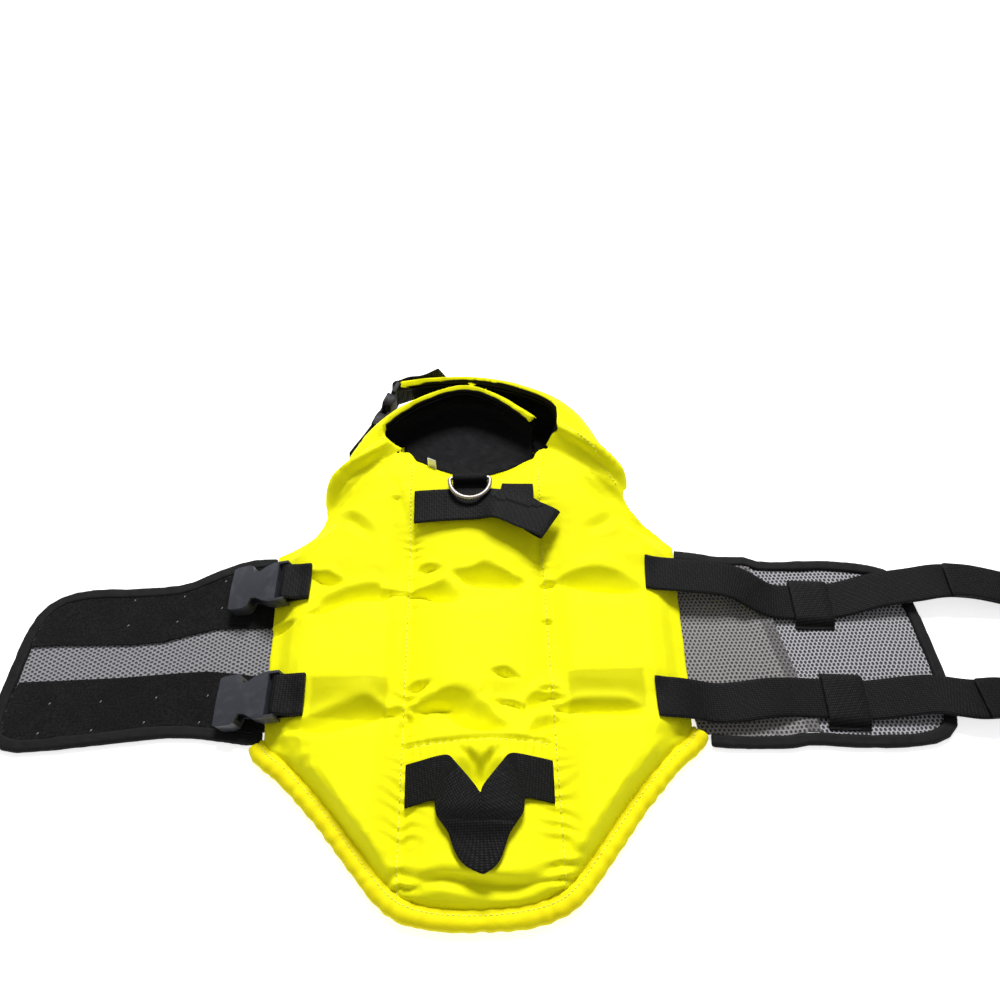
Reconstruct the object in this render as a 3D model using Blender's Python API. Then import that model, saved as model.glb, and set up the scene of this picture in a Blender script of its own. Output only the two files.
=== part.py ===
"""Dog life jacket laid flat on its belly side: every cut piece, webbing and fastening as its own solid.

Frame: metres, +Z up from the surface, +Y towards the neck, +X towards the right belly straps, and the
origin under the middle of the back. The tables are in millimetres and MM turns them into metres.
"""

import math

import bmesh
import bpy
from mathutils import Matrix, Vector

MM = 0.001
GAP = 0.3  # clearance between pieces that touch

# Foam back: two seams split it into three channels.
SEAM_X = 43.5
SEAM_Z = 12.0
EDGE_Z = 5.5
CROWN = 8.0
BAND_SINK = 0.42  # share of the crown lost where the inner belly straps cross
NECK_LIFT = 9.0  # how far the neck end rides up on the closed flaps
LIFT_START, LIFT_END = 70.0, 142.0
SEAM_FILL = 6.5  # how much of the seams' dip is gone at the neck end
RIGHT_LIFT = 7.0  # how much higher the right shoulder's corner stands
BANDS = ((58.0, 17.0), (-27.0, 15.0))  # strap lines: centre y, half width
CREASES = ((42.0, 8.0, 1.8), (-38.0, 8.0, 1.8))  # centre y, half width, depth

UNDER_STEP = 4  # columns of the top to one of the underside

# Webbing and the other cloth.
WEB_WIDTH = 25.8
WEB_THICK = 1.5
FLAP_THICK = 5.7
LINING_THICK = 1.0
NET_THICK = 1.6
PILE_THICK = 1.4
TAPE_WIDTH = 7.0
TAPE_THICK = 3.6
TAIL_BINDING_WIDTH = 9.5

# Fastenings.
BAR_RADIUS = 2.1
BUCKLE_LENGTH = 38.5
BUCKLE_THICK = 9.5
BUCKLE_DIP = 16.0  # degrees that a left buckle's mouth hangs below its bar
NECK_SIZE = 0.8  # the neck strap and its buckle against the belly straps and theirs
RING_WIRE = 3.0

YELLOW = (1.0, 0.93, 0.01, 1.0)
BLACK = (0.016, 0.016, 0.018, 1.0)
NET_GREY = (0.34, 0.33, 0.36, 1.0)
SLATE = (0.05, 0.052, 0.065, 1.0)
STEEL = (0.72, 0.69, 0.65, 1.0)
WHITE = (0.85, 0.85, 0.83, 1.0)

# ---- outlines of the back, half widths from the centre line -------------------------------------

NECKLINE = (  # x, y
    (0.0, 141.5),
    (14.0, 142.0),
    (24.0, 146.0),
    (34.0, 151.5),
    (43.5, 157.5),
    (51.2, 163.5),
)
VALLEY = (  # x, y: where a neck flap folds up from the back
    (51.2, 163.5),
    (60.0, 159.0),
    (71.0, 150.2),
    (82.0, 140.0),
    (96.0, 126.0),
    (106.3, 115.5),
)
ARMHOLE = (  # x, y
    (106.3, 115.5),
    (109.5, 107.0),
    (116.0, 98.5),
    (127.0, 91.5),
    (139.0, 85.5),
)
RIGHT_VALLEY = (  # x, y: the right shoulder rides higher and further out
    (51.2, 163.5),
    (60.0, 159.0),
    (71.0, 150.4),
    (82.0, 141.5),
    (95.0, 131.0),
    (106.5, 121.5),
)
RIGHT_ARMHOLE = (  # x, y
    (106.5, 121.5),
    (110.5, 113.0),
    (118.5, 103.0),
    (129.0, 94.8),
    (139.0, 85.5),
)
SIDE = (  # x, y
    (139.0, 85.5),
    (137.0, 62.0),
    (135.5, 35.0),
    (134.0, 8.0),
    (132.3, -22.0),
    (130.0, -46.5),
)
TAIL = (  # x, y: outer edge of the tail hem
    (139.0, -50.5),
    (137.4, -54.6),
    (132.0, -60.0),
    (118.0, -70.6),
    (95.0, -94.0),
    (73.0, -120.0),
    (56.0, -138.5),
    (42.0, -146.8),
    (23.0, -151.0),
    (0.0, -152.3),
)
HALF_WIDTH = (  # y, x: the back's inner outline
    (-143.0, 20.0),
    (-136.0, 44.5),
    (-122.0, 62.0),
    (-98.0, 84.0),
    (-70.0, 108.0),
    (-46.5, 130.0),
    (-22.0, 132.3),
    (35.0, 135.5),
    (85.5, 139.0),
    (98.5, 116.0),
    (115.5, 106.3),
    (140.0, 82.0),
    (159.0, 60.0),
    (164.0, 51.0),
)

# ---- neck flaps: sections from the neck edge, over the belly of the fold, to the hidden edge ----

FLAP_POINTS = ("rim", "belly", "floor", "foot")
RIGHT_FLAP = (  # one row a section, each point x, y, z on the outer face
    ((56.5, 169.5, 36.0), (76.7, 159.0, 37.5), (96.0, 142.5, 33.0), (109.4, 127.5, 21.5)),
    ((60.5, 177.0, 41.5), (83.0, 165.0, 36.0), (101.5, 150.5, 25.0), (107.0, 137.0, 12.0)),
    ((62.0, 187.5, 43.0), (84.5, 179.0, 32.0), (97.0, 168.0, 15.0), (90.0, 148.0, 1.0)),
    ((58.5, 198.0, 43.0), (78.5, 196.5, 29.5), (86.0, 185.0, 11.0), (72.0, 156.0, 0.0)),
    ((46.0, 208.5, 42.5), (63.0, 213.5, 27.5), (66.0, 202.0, 8.5), (55.0, 162.0, 0.0)),
    ((25.0, 217.5, 42.0), (36.0, 228.0, 27.0), (36.0, 218.0, 7.0), (32.0, 162.0, 0.0)),
    ((0.0, 224.5, 41.5), (3.0, 236.0, 27.5), (3.0, 226.0, 6.5), (4.0, 164.0, 0.0)),
    ((-28.0, 227.0, 40.0), (-28.0, 236.5, 26.5), (-28.0, 226.5, 6.0), (-26.0, 166.0, 0.0)),
    ((-57.5, 226.0, 37.5), (-50.0, 234.0, 25.0), (-48.0, 224.5, 5.0), (-46.0, 168.0, 0.0)),
)
LEFT_FLAP = (  # the same, lying inside the right flap
    ((-57.0, 165.5, 31.5), (-76.7, 155.5, 33.0), (-95.5, 138.5, 27.0), (-108.9, 122.5, 13.0)),
    ((-63.0, 168.5, 35.5), (-85.0, 160.0, 32.5), (-99.0, 146.5, 21.0), (-103.0, 133.0, 8.5)),
    ((-67.5, 173.5, 38.5), (-85.0, 170.5, 29.5), (-92.0, 158.0, 18.0), (-88.0, 147.0, 8.0)),
    ((-65.0, 182.0, 41.5), (-78.5, 183.0, 28.0), (-78.0, 173.0, 13.0), (-72.0, 158.0, 7.8)),
    ((-50.0, 196.0, 43.0), (-60.5, 201.0, 28.5), (-60.0, 189.5, 13.0), (-54.0, 167.5, 7.6)),
    ((-28.0, 208.0, 44.5), (-34.0, 214.5, 30.0), (-33.0, 204.0, 14.0), (-30.0, 157.0, 7.6)),
    ((-5.0, 213.0, 45.0), (-4.0, 219.5, 31.0), (-4.0, 209.5, 14.0), (-5.0, 147.5, 7.6)),
    ((18.0, 202.5, 44.0), (22.5, 211.0, 30.0), (21.0, 200.0, 14.0), (18.0, 151.5, 7.6)),
    ((44.0, 184.0, 39.0), (48.5, 191.0, 27.5), (46.0, 181.0, 14.0), (42.0, 163.5, 7.6)),
)
FLAP_SECTIONS, FLAP_ACROSS = 24, 9
RIGHT_FLAP_REST, LEFT_FLAP_REST = 0.0, 7.6

# ---- left belly band ----------------------------------------------------------------------------

LEFT_BAND_EDGE = (  # x, y: round the band from its neck corner to its tail corner
    (-140.2, 86.4),
    (-157.0, 86.0),
    (-174.0, 80.0),
    (-195.0, 69.6),
    (-209.0, 66.0),
    (-238.0, 65.1),
    (-263.0, 65.0),
    (-281.0, 60.5),
    (-292.5, 50.0),
    (-298.0, 34.0),
    (-300.0, 5.0),
    (-301.0, -25.0),
    (-297.0, -39.0),
    (-286.0, -45.8),
    (-271.0, -46.6),
    (-237.0, -44.0),
    (-205.0, -41.2),
    (-188.0, -40.4),
    (-172.0, -41.5),
    (-156.0, -44.0),
    (-142.0, -46.4),
    (-132.2, -46.0),
)
NET_STRIPE = (  # x, upper edge, lower edge of the bare net between the pile strips
    (-291.0, 23.2, -2.1),
    (-270.0, 23.7, -1.8),
    (-227.6, 22.5, -0.9),
    (-206.5, 24.0, 0.4),
    (-187.0, 29.2, 1.4),
    (-173.0, 32.5, 1.8),
    (-155.0, 32.4, -0.2),
    (-135.6, 32.1, -3.6),
)

# ---- right belly band ---------------------------------------------------------------------------

RIGHT_BAND_EDGE = (  # x, y
    (140.4, 84.8),
    (158.0, 81.6),
    (169.5, 79.2),
    (190.0, 78.2),
    (197.0, 74.6),
    (220.0, 73.5),
    (242.0, 73.5),
    (270.0, 69.5),
    (286.0, 64.0),
    (293.0, 52.0),
    (296.0, 31.0),
    (298.0, -12.0),
    (295.5, -42.0),
    (286.0, -54.5),
    (266.0, -59.2),
    (231.0, -58.9),
    (203.0, -56.4),
    (187.0, -58.2),
    (155.0, -57.3),
    (141.0, -55.6),
)
NET_SEAM_X = 201.0
NET_OVERLAP = 8.5
NET_SEAM_LEAN = -0.16  # x gained for each mm towards the neck

# ---- webbing: x, y, z of the centre line --------------------------------------------------------

STRAP_UPPER = (
    (113.5, 58.6, 17.0),
    (120.0, 58.0, 17.5),
    (129.0, 57.2, 17.5),
    (140.0, 56.4, 16.6),
    (151.0, 55.4, 15.8),
    (167.0, 53.7, 14.6),
    (177.0, 50.6, 13.0),
    (186.0, 46.0, 9.8),
    (198.0, 41.2, 5.6),
    (211.0, 40.4, 4.4),
    (225.0, 40.0, 4.2),
    (239.0, 40.4, 4.6),
    (252.5, 42.6, 5.8),
    (266.0, 45.3, 7.8),
    (279.0, 47.0, 9.0),
    (291.0, 48.0, 10.0),
    (303.0, 48.8, 11.2),
    (314.0, 50.2, 12.0),
    (335.0, 49.0, 10.4),
    (354.0, 45.4, 8.0),
    (368.0, 43.2, 3.6),
    (380.0, 42.0, 1.3),
)
STRAP_LOWER = (
    (108.4, -29.8, 17.0),
    (116.0, -30.0, 17.8),
    (123.0, -30.2, 17.0),
    (131.0, -30.0, 13.6),
    (139.0, -30.2, 10.4),
    (148.0, -31.4, 8.8),
    (165.0, -30.4, 8.6),
    (178.0, -28.4, 8.2),
    (195.0, -27.2, 5.8),
    (212.0, -28.2, 4.6),
    (228.5, -29.4, 4.3),
    (243.0, -30.6, 4.8),
    (269.0, -29.2, 6.8),
    (284.0, -28.8, 8.0),
    (297.0, -32.2, 9.6),
    (309.0, -34.4, 10.4),
    (322.0, -33.4, 9.6),
    (336.0, -32.6, 5.4),
    (350.0, -32.0, 1.3),
)
FREE_END_BACK = (62.0, 40.0)  # length of the turned-back end of the upper and the lower strap
KEEPERS = (  # name, centre x, centre y, length, lean in degrees
    ("keeper_upper", 225.0, 38.4, 36.6, -3.0),
    ("keeper_lower", 228.5, -30.6, 36.6, -4.0),
)
LEFT_LOOPS = (  # name, sewn end x, bar x, y, bar z
    ("upper", 110.5, -127.0, 57.0, 18.9),
    ("lower", 105.5, -122.5, -22.8, 18.9),
)

UPPER_HANDLE = (  # x, y, height, yaw of the width, share that follows the back, layers under it
    (41.5, 117.0, 1.0, 0.0, 1.0, 0.0),
    (30.0, 117.0, 1.0, -2.0, 1.0, 0.0),
    (20.0, 117.0, 1.2, -8.0, 1.0, 0.0),
    (16.8, 116.4, 3.0, -15.0, 0.5, 0.8),
    (20.0, 114.8, 4.8, -22.0, 0.0, 1.6),
    (28.0, 109.8, 5.4, -33.0, 0.0, 1.4),
    (40.0, 99.8, 5.4, -36.0, 0.0, 1.0),
    (48.6, 92.9, 5.4, -34.0, 0.0, 1.0),
    (51.4, 91.0, 7.8, -33.0, 0.0, 1.0),
    (48.6, 92.9, 10.2, -32.0, 0.0, 1.0),
    (40.0, 97.8, 10.5, -28.0, 0.0, 1.0),
    (28.0, 103.8, 9.9, -25.0, 0.0, 3.2),
    (20.0, 107.4, 8.6, -21.0, 0.0, 3.5),
    (15.0, 109.3, 6.8, -17.0, 0.0, 2.8),
    (9.0, 111.0, 4.0, -11.0, 0.0, 0.8),
    (1.0, 111.9, 1.7, -4.0, 0.7, 0.0),
    (-9.0, 112.2, 1.0, 0.0, 1.0, 0.0),
    (-21.0, 112.2, 1.0, 0.0, 1.0, 0.0),
    (-43.0, 112.2, 1.0, 0.0, 1.0, 0.0),
)
LOWER_HANDLE = (  # inner x, inner y, outer x, outer y, height over the back; left half
    (-43.0, -65.8, -42.6, -90.4, 0.7),
    (-30.0, -64.0, -33.5, -88.8, 0.7),
    (-18.5, -62.8, -25.4, -88.4, 2.2),
    (-14.0, -67.6, -24.6, -96.0, 4.2),
    (-7.0, -76.4, -18.6, -104.0, 6.4),
    (-1.6, -83.6, -9.6, -116.4, 6.8),
    (0.6, -86.4, 1.2, -127.6, 6.4),
)
RING_X, RING_BAR_Y = -3.5, 131.5
RING_HEIGHT = 17.0
RING_WIDTH = 28.6  # between wire centres
TAB_WIDTH, TAB_LENGTH = 24.4, 9.6
TAB_FOLD = 1.65  # layers under the upper fold, more than one because the neckline is steep

# ---- neck closure -------------------------------------------------------------------------------

NECK_BARS = ((-75.8, 195.0, 13.5), (-60.8, 234.0, 16.5))  # the socket half's bar, the plug half's bar
NECK_LEAN = 9.0  # degrees that the buckle's upper edge leans on the flap
NECK_STRAP_SEWN = (  # x, y, z along the right flap's outer face
    (-30.0, 238.4, 16.0),
    (-41.0, 237.6, 16.5),
    (-50.0, 236.2, 17.0),
)
NECK_STRAP_FREE = (
    (-51.5, 241.4, 17.0),
    (-44.5, 241.4, 16.5),
    (-35.0, 241.6, 18.5),
    (-22.5, 242.4, 25.5),
)
NECK_WEB_SEWN = ((-92.5, 166.5, 12.6), (-87.4, 176.0, 13.0), (-81.6, 185.6, 13.4))
NECK_TAB = ((-34.5, 152.4), (-28.2, 149.1))  # ends of the white tab at the neckline


# ---- maths --------------------------------------------------------------------------------------


def smooth(value):
    """0 below 0, 1 above 1, and a smooth step between."""
    t = min(max(value, 0.0), 1.0)
    return t * t * (3.0 - 2.0 * t)


def hump(value, centre, half_width):
    """1 at the centre and 0 from half_width away."""
    return smooth(1.0 - abs(value - centre) / half_width)


def mix(a, b, t):
    """The point a share t of the way from a to b."""
    return tuple(p + (q - p) * t for p, q in zip(a, b))


def spline(rows, place):
    """A Catmull-Rom curve through rows, read at place, from 0 to the last row's number."""
    last = len(rows) - 1
    i = min(int(place), last - 1)
    t = place - i
    before, start, end, after = (rows[min(max(k, 0), last)] for k in (i - 1, i, i + 1, i + 2))
    return tuple(
        0.5 * (2 * b + (c - a) * t + (2 * a - 5 * b + 4 * c - d) * t**2 + (3 * (b - c) + d - a) * t**3)
        for a, b, c, d in zip(before, start, end, after)
    )


def even(rows, count, dense=12):
    """count points, evenly spaced along the curve through rows."""
    fine = [spline(rows, k / dense) for k in range((len(rows) - 1) * dense + 1)]
    travelled = [0.0]
    for a, b in zip(fine, fine[1:]):
        travelled.append(travelled[-1] + math.dist(a, b))
    points, k = [], 0
    for step in range(count):
        target = travelled[-1] * step / (count - 1)
        while k < len(fine) - 2 and travelled[k + 1] < target:
            k += 1
        span = travelled[k + 1] - travelled[k]
        points.append(mix(fine[k], fine[k + 1], min((target - travelled[k]) / span, 1.0)))
    return points


def lookup(rows, key, column=1):
    """The value in a column for a key in column 0, with straight lines between the rows."""
    if key <= rows[0][0]:
        return rows[0][column]
    for a, b in zip(rows, rows[1:]):
        if key <= b[0]:
            return a[column] + (b[column] - a[column]) * (key - a[0]) / (b[0] - a[0])
    return rows[-1][column]


def inset(points, distance):
    """A plan curve moved to its left side by a distance."""
    moved = []
    for i, point in enumerate(points):
        a, b = points[max(i - 1, 0)], points[min(i + 1, len(points) - 1)]
        dx, dy = b[0] - a[0], b[1] - a[1]
        length = math.hypot(dx, dy)
        moved.append((point[0] - dy / length * distance, point[1] + dx / length * distance))
    return moved


def mirrored(rows):
    """Plan points on the other side of the centre line."""
    return [(-x, y) for x, y in rows]


def underside(y):
    """Height of the back's underside, which lifts towards the neck."""
    return NECK_LIFT * smooth((y - LIFT_START) / (LIFT_END - LIFT_START))


def side_x(y):
    """Half width of the back at its side edge."""
    return lookup(sorted((b, a) for a, b in SIDE), y)


def back_top(x, y):
    """Height of the back's outer face."""
    u = abs(x)
    half = lookup(HALF_WIDTH, y)
    row = 1.0 - BAND_SINK * max(hump(y, centre, width) for centre, width in BANDS)
    crease = max(depth * hump(y, centre, width) for centre, width, depth in CREASES)
    tail = smooth((y - lookup(TAIL_INNER_BY_X, u)) / 15.0)
    neck, drop = 1.0, 0.0
    if u < SEAM_X:
        across = 1.0 - (u / SEAM_X) ** 2.6
        dip = 1.0 - across
        neck = smooth((lookup(NECKLINE, u) - y) / 9.0)
    else:
        beside = smooth((136.0 - y) / 20.0) * smooth((y + 64.0) / 16.0)
        across = smooth((u - SEAM_X) / min(max(half - SEAM_X, 6.0), 21.0))
        dip = 1.0 - across
        across *= 1.0 - beside * (1.0 - smooth((half - u) / 26.0))
        drop = beside * (1.0 - smooth((half - u) / 22.0))
    base = SEAM_Z + (EDGE_Z - SEAM_Z) * drop + SEAM_FILL * dip * smooth((y - 88.0) / 40.0)
    base += RIGHT_LIFT * smooth((x - 88.0) / 18.0) * smooth((y - 88.0) / 25.0)
    crest = base + (CROWN * row - crease) * across * (0.55 + 0.45 * neck) - 3.0 * (1.0 - neck)
    return EDGE_Z + (crest - EDGE_Z) * tail + underside(y)


def cover(x, y):
    """Height just over the back's outer face and everything within a few millimetres."""
    near = ((0.0, 0.0), (2.0, 0.0), (-2.0, 0.0), (0.0, 2.0), (0.0, -2.0))
    return max(back_top(x + dx, y + dy) for dx, dy in near) + GAP


# ---- building blocks ----------------------------------------------------------------------------


def clear_scene():
    """Removes what the start file holds."""
    for old in list(bpy.data.objects):
        bpy.data.objects.remove(old, do_unlink=True)


def new_collection(name):
    """A collection under the scene's own."""
    collection = bpy.data.collections.new(name)
    bpy.context.scene.collection.children.link(collection)
    return collection


def new_material(name, colour, roughness, metallic=0.0):
    """A Principled material."""
    material = bpy.data.materials.new(name)
    material.use_nodes = True
    shader = material.node_tree.nodes["Principled BSDF"]
    shader.inputs["Base Color"].default_value = colour
    shader.inputs["Roughness"].default_value = roughness
    shader.inputs["Metallic"].default_value = metallic
    material.diffuse_color = colour
    return material


def add_mesh(name, points, faces, material, collection):
    """An object from points in millimetres, with its faces turned outwards."""
    mesh = bpy.data.meshes.new(name)
    shape = bmesh.new()
    made = [shape.verts.new(Vector(p) * MM) for p in points]
    for face in faces:
        shape.faces.new([made[i] for i in face])
    bmesh.ops.recalc_face_normals(shape, faces=shape.faces)
    shape.to_mesh(mesh)
    shape.free()
    mesh.materials.append(material)
    mesh.shade_smooth()
    mesh.set_sharp_from_angle(angle=math.radians(40))
    piece = bpy.data.objects.new(name, mesh)
    collection.objects.link(piece)
    return piece


def wall(name, outer, inner, material, collection):
    """A closed solid between two grids of points with the same rows and columns."""
    rows, columns = len(outer), len(outer[0])
    points = [p for row in outer for p in row] + [p for row in inner for p in row]
    half = rows * columns

    def at(i, j, side=0):
        return side * half + i * columns + j

    faces = []
    for i in range(rows - 1):
        for j in range(columns - 1):
            faces.append((at(i, j), at(i + 1, j), at(i + 1, j + 1), at(i, j + 1)))
            faces.append((at(i, j, 1), at(i, j + 1, 1), at(i + 1, j + 1, 1), at(i + 1, j, 1)))
    for i in range(rows - 1):
        faces.append((at(i, 0), at(i, 0, 1), at(i + 1, 0, 1), at(i + 1, 0)))
        k = columns - 1
        faces.append((at(i, k), at(i + 1, k), at(i + 1, k, 1), at(i, k, 1)))
    for j in range(columns - 1):
        faces.append((at(0, j), at(0, j + 1), at(0, j + 1, 1), at(0, j, 1)))
        faces.append((at(rows - 1, j), at(rows - 1, j, 1), at(rows - 1, j + 1, 1), at(rows - 1, j + 1)))
    return add_mesh(name, points, faces, material, collection)


def pad(name, top, material, collection):
    """A foam panel: a grid of top points over a plain underside with only every fourth column."""
    rows, columns = len(top), len(top[0])
    points = [p for row in top for p in row]
    under = {}
    for i in range(rows):
        for j in range(0, columns, UNDER_STEP):
            x, y, _ = top[i][j]
            under[i, j] = len(points)
            points.append((x, y, underside(y)))

    def at(i, j):
        return i * columns + j

    faces = []
    for i in range(rows - 1):
        faces += [(at(i, j), at(i + 1, j), at(i + 1, j + 1), at(i, j + 1)) for j in range(columns - 1)]
        faces += [(at(i, j), at(i + 1, j), under[i + 1, j], under[i, j]) for j in (0, columns - 1)]
        for j in range(0, columns - 1, UNDER_STEP):
            k = j + UNDER_STEP
            faces.append((under[i, j], under[i, k], under[i + 1, k], under[i + 1, j]))
    for i in (0, rows - 1):
        for j in range(0, columns - 1, UNDER_STEP):
            k = j + UNDER_STEP
            faces.append([at(i, c) for c in range(j, k + 1)] + [under[i, k], under[i, j]])
    return add_mesh(name, points, faces, material, collection)


def ribbon(name, stations, material, collection, width=WEB_WIDTH, columns=3, square=True):
    """Flat webbing from stations: centre, direction of the width, webbing layers under it or None.

    A station with a number of layers keeps clear of the back and of that many layers on it. The width
    is turned square to the path unless the webbing is folded over at an angle.
    """
    centres = [Vector(station[0]) for station in stations]
    last = len(centres) - 1
    face = []
    for i, (_, across, layers) in enumerate(stations):
        along = centres[min(i + 1, last)] - centres[max(i - 1, 0)]
        across = Vector(across)
        if square:
            across = (across - along * across.dot(along) / along.length_squared).normalized()
        row = [centres[i] + across * width * (j / columns - 0.5) for j in range(columns + 1)]
        if layers is not None:
            lift = WEB_THICK / 2 + layers * (WEB_THICK + GAP)
            for point in row:
                point.z = max(point.z, cover(point.x, point.y) + lift)
        face.append(row)
    upper = thickened(face, WEB_THICK / 2)
    return wall(name, upper, thickened(face, -WEB_THICK / 2), material, collection)


def arc(centre, reach, start, end, steps):
    """Points round a bar in the plane of the two numbers of its centre; angles in degrees."""
    angles = [math.radians(start + (end - start) * k / steps) for k in range(steps + 1)]
    return [(centre[0] + reach * math.cos(a), centre[1] + reach * math.sin(a)) for a in angles]


def thickened(face, depth):
    """A grid of points moved along its own normals."""
    rows, columns = len(face), len(face[0])
    moved = []
    for i in range(rows):
        line = []
        for j in range(columns):
            along = face[min(i + 1, rows - 1)][j] - face[max(i - 1, 0)][j]
            over = face[i][min(j + 1, columns - 1)] - face[i][max(j - 1, 0)]
            line.append(face[i][j] + along.cross(over).normalized() * depth)
        moved.append(line)
    return moved


def sweep(name, edge, section, material, collection):
    """A strip along a plan curve: section rows are (distance in from the edge, height)."""
    lines = [[(*p, z) for p in inset(edge, distance)] for distance, z in section]
    count, ring = len(edge), len(section)
    points = [line[i] for i in range(count) for line in lines]
    faces = [
        (i * ring + j, i * ring + (j + 1) % ring, (i + 1) * ring + (j + 1) % ring, (i + 1) * ring + j)
        for i in range(count - 1)
        for j in range(ring)
    ]
    faces += [tuple(range(ring)), tuple(range((count - 1) * ring, count * ring))]
    return add_mesh(name, points, faces, material, collection)


def plate(name, outlines, thickness, material, collection):
    """A flat outline with holes, extruded about z = 0, as a mesh object."""
    curve = bpy.data.curves.new(name, "CURVE")
    curve.dimensions = "2D"
    curve.fill_mode = "BOTH"
    curve.extrude = thickness / 2 * MM
    for outline in outlines:
        line = curve.splines.new("POLY")
        line.points.add(len(outline) - 1)
        for point, (x, y) in zip(line.points, outline):
            point.co = (x * MM, y * MM, 0.0, 1.0)
        line.use_cyclic_u = True
    return curve_to_mesh(name, curve, material, collection)


def curve_to_mesh(name, curve, material, collection):
    """A closed mesh object from a curve, which is then removed."""
    guide = bpy.data.objects.new(name + "_curve", curve)
    collection.objects.link(guide)
    bpy.context.view_layer.update()
    evaluated = guide.evaluated_get(bpy.context.evaluated_depsgraph_get())
    mesh = bpy.data.meshes.new_from_object(evaluated)
    shape = bmesh.new()
    shape.from_mesh(mesh)
    bmesh.ops.remove_doubles(shape, verts=shape.verts, dist=0.00002)
    bmesh.ops.recalc_face_normals(shape, faces=shape.faces)
    shape.to_mesh(mesh)
    shape.free()
    mesh.name = name
    mesh.materials.clear()
    mesh.materials.append(material)
    bpy.data.objects.remove(guide, do_unlink=True)
    piece = bpy.data.objects.new(name, mesh)
    collection.objects.link(piece)
    return piece


def cutter_box(name, low, high, collection):
    """A hidden box between two corners in millimetres."""
    x0, y0, z0 = low
    x1, y1, z1 = high
    corners = [(x, y, z) for x in (x0, x1) for y in (y0, y1) for z in (z0, z1)]
    faces = [(0, 1, 3, 2), (4, 6, 7, 5), (0, 4, 5, 1), (2, 3, 7, 6), (0, 2, 6, 4), (1, 5, 7, 3)]
    cutter = add_mesh(name, corners, faces, bpy.data.materials["cutter"], collection)
    cutter.hide_render = True
    cutter.display_type = "WIRE"
    return cutter


def combine(piece, other, operation):
    """A Boolean modifier on piece."""
    step = piece.modifiers.new(operation.lower(), "BOOLEAN")
    step.operation = operation
    step.object = other
    step.solver = "EXACT"


# ---- the back -----------------------------------------------------------------------------------

TAIL_EDGE = even(TAIL, 24)
TAIL_INNER = inset(TAIL_EDGE, -(TAIL_BINDING_WIDTH + GAP))
TAIL_INNER_BY_X = sorted((max(x, 0.0), y) for x, y in TAIL_INNER)


def back_centre(material, collection):
    """The middle channel, from the neckline to the tail hem."""
    columns, rows = 12, 34
    half = SEAM_X - GAP / 2
    top = []
    for i in range(rows + 1):
        row = []
        for j in range(columns + 1):
            x = half * (2 * j / columns - 1)
            y = lookup(NECKLINE, abs(x))
            y += (lookup(TAIL_INNER_BY_X, abs(x)) - y) * i / rows
            row.append((x, y, back_top(x, y)))
        top.append(row)
    return pad("back_centre", top, material, collection)


def back_side(name, sign, valley, armhole, material, collection):
    """A side channel, from the valley under its neck flap to the tail hem."""
    inner_x = SEAM_X + GAP / 2
    meet_y = lookup(TAIL_INNER_BY_X, inner_x + 1.5)
    tail = [(x, y) for x, y in TAIL_INNER if x > inner_x + 1.5] + [(inner_x + 1.5, meet_y)]
    spans = (  # outer curve, seam y at its start and end, rows
        (armhole, 157.5, 100.0, 6),
        (SIDE, 100.0, -40.0, 16),
        (tail, -40.0, lookup(TAIL_INNER_BY_X, inner_x), 12),
    )
    outer, seam = [], []
    for curve, start, end, rows in spans:
        points = even(curve, rows + 1)
        first = 1 if outer else 0
        outer += points[first:]
        seam += [start + (end - start) * k / rows for k in range(first, rows + 1)]
    columns = 12
    front = even([(inner_x, NECKLINE[-2][1]), *valley], columns + 1)
    top = []
    for i, ((x1, y1), y0) in enumerate(zip(outer, seam)):
        hold = 1.0 - smooth(i / 5)
        row = []
        for j in range(columns + 1):
            s = j / columns
            straight = (inner_x + (x1 - inner_x) * s, y0 + (y1 - y0) * s)
            base = mix((inner_x, seam[0]), outer[0], s)
            x = straight[0] + (front[j][0] - base[0]) * hold
            y = straight[1] + (front[j][1] - base[1]) * hold
            row.append((sign * x, y, back_top(sign * max(x, SEAM_X + 0.05), y)))
        top.append(row)
    return pad(name, top, material, collection)


def tail_binding(material, collection):
    """The hem that wraps the foam's edge round the tail."""
    section = (  # in from the edge, height
        (1.4, 0.0),
        (0.0, 2.4),
        (0.8, 5.6),
        (3.4, 7.6),
        (6.6, 7.2),
        (TAIL_BINDING_WIDTH, 5.2),
        (TAIL_BINDING_WIDTH, 0.0),
    )
    half = TAIL_EDGE
    edge = half[:-1] + [(0.0, half[-1][1])] + mirrored(half[-2::-1])
    return sweep("tail_binding", edge, [(-d, z) for d, z in section], material, collection)


# ---- neck flaps ---------------------------------------------------------------------------------


def flap_face(table, valley, rest, start=0.0):
    """The flap's outer face as a grid; start leaves that share bare at the neck edge."""
    sign = math.copysign(1.0, table[0][0][0])
    fold = inset(even(valley, FLAP_ACROSS + 1), GAP + 0.35)

    def seat(t):
        x, y = spline(fold, t * FLAP_ACROSS)
        return sign * x, y, back_top(sign * x, y)

    last = len(FLAP_POINTS) - 1
    rows = [[seat(k / last) for k in range(last + 1)], *table]
    across = [start + (1.0 - start) * j / FLAP_ACROSS for j in range(FLAP_ACROSS + 1)]
    apart = [Vector(seat(t)) - Vector(spline(rows[0], t * last)) for t in across]
    face = []
    for k in range(FLAP_SECTIONS + 1):
        section = [spline(column, k * (len(rows) - 1) / FLAP_SECTIONS) for column in zip(*rows)]
        hold = max(1.0 - k / 5, 0.0)
        face.append([Vector(spline(section, t * last)) + away * hold for t, away in zip(across, apart)])
    for row in face:
        for point in row:
            point.z = max(point.z, rest)
    return face


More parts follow.
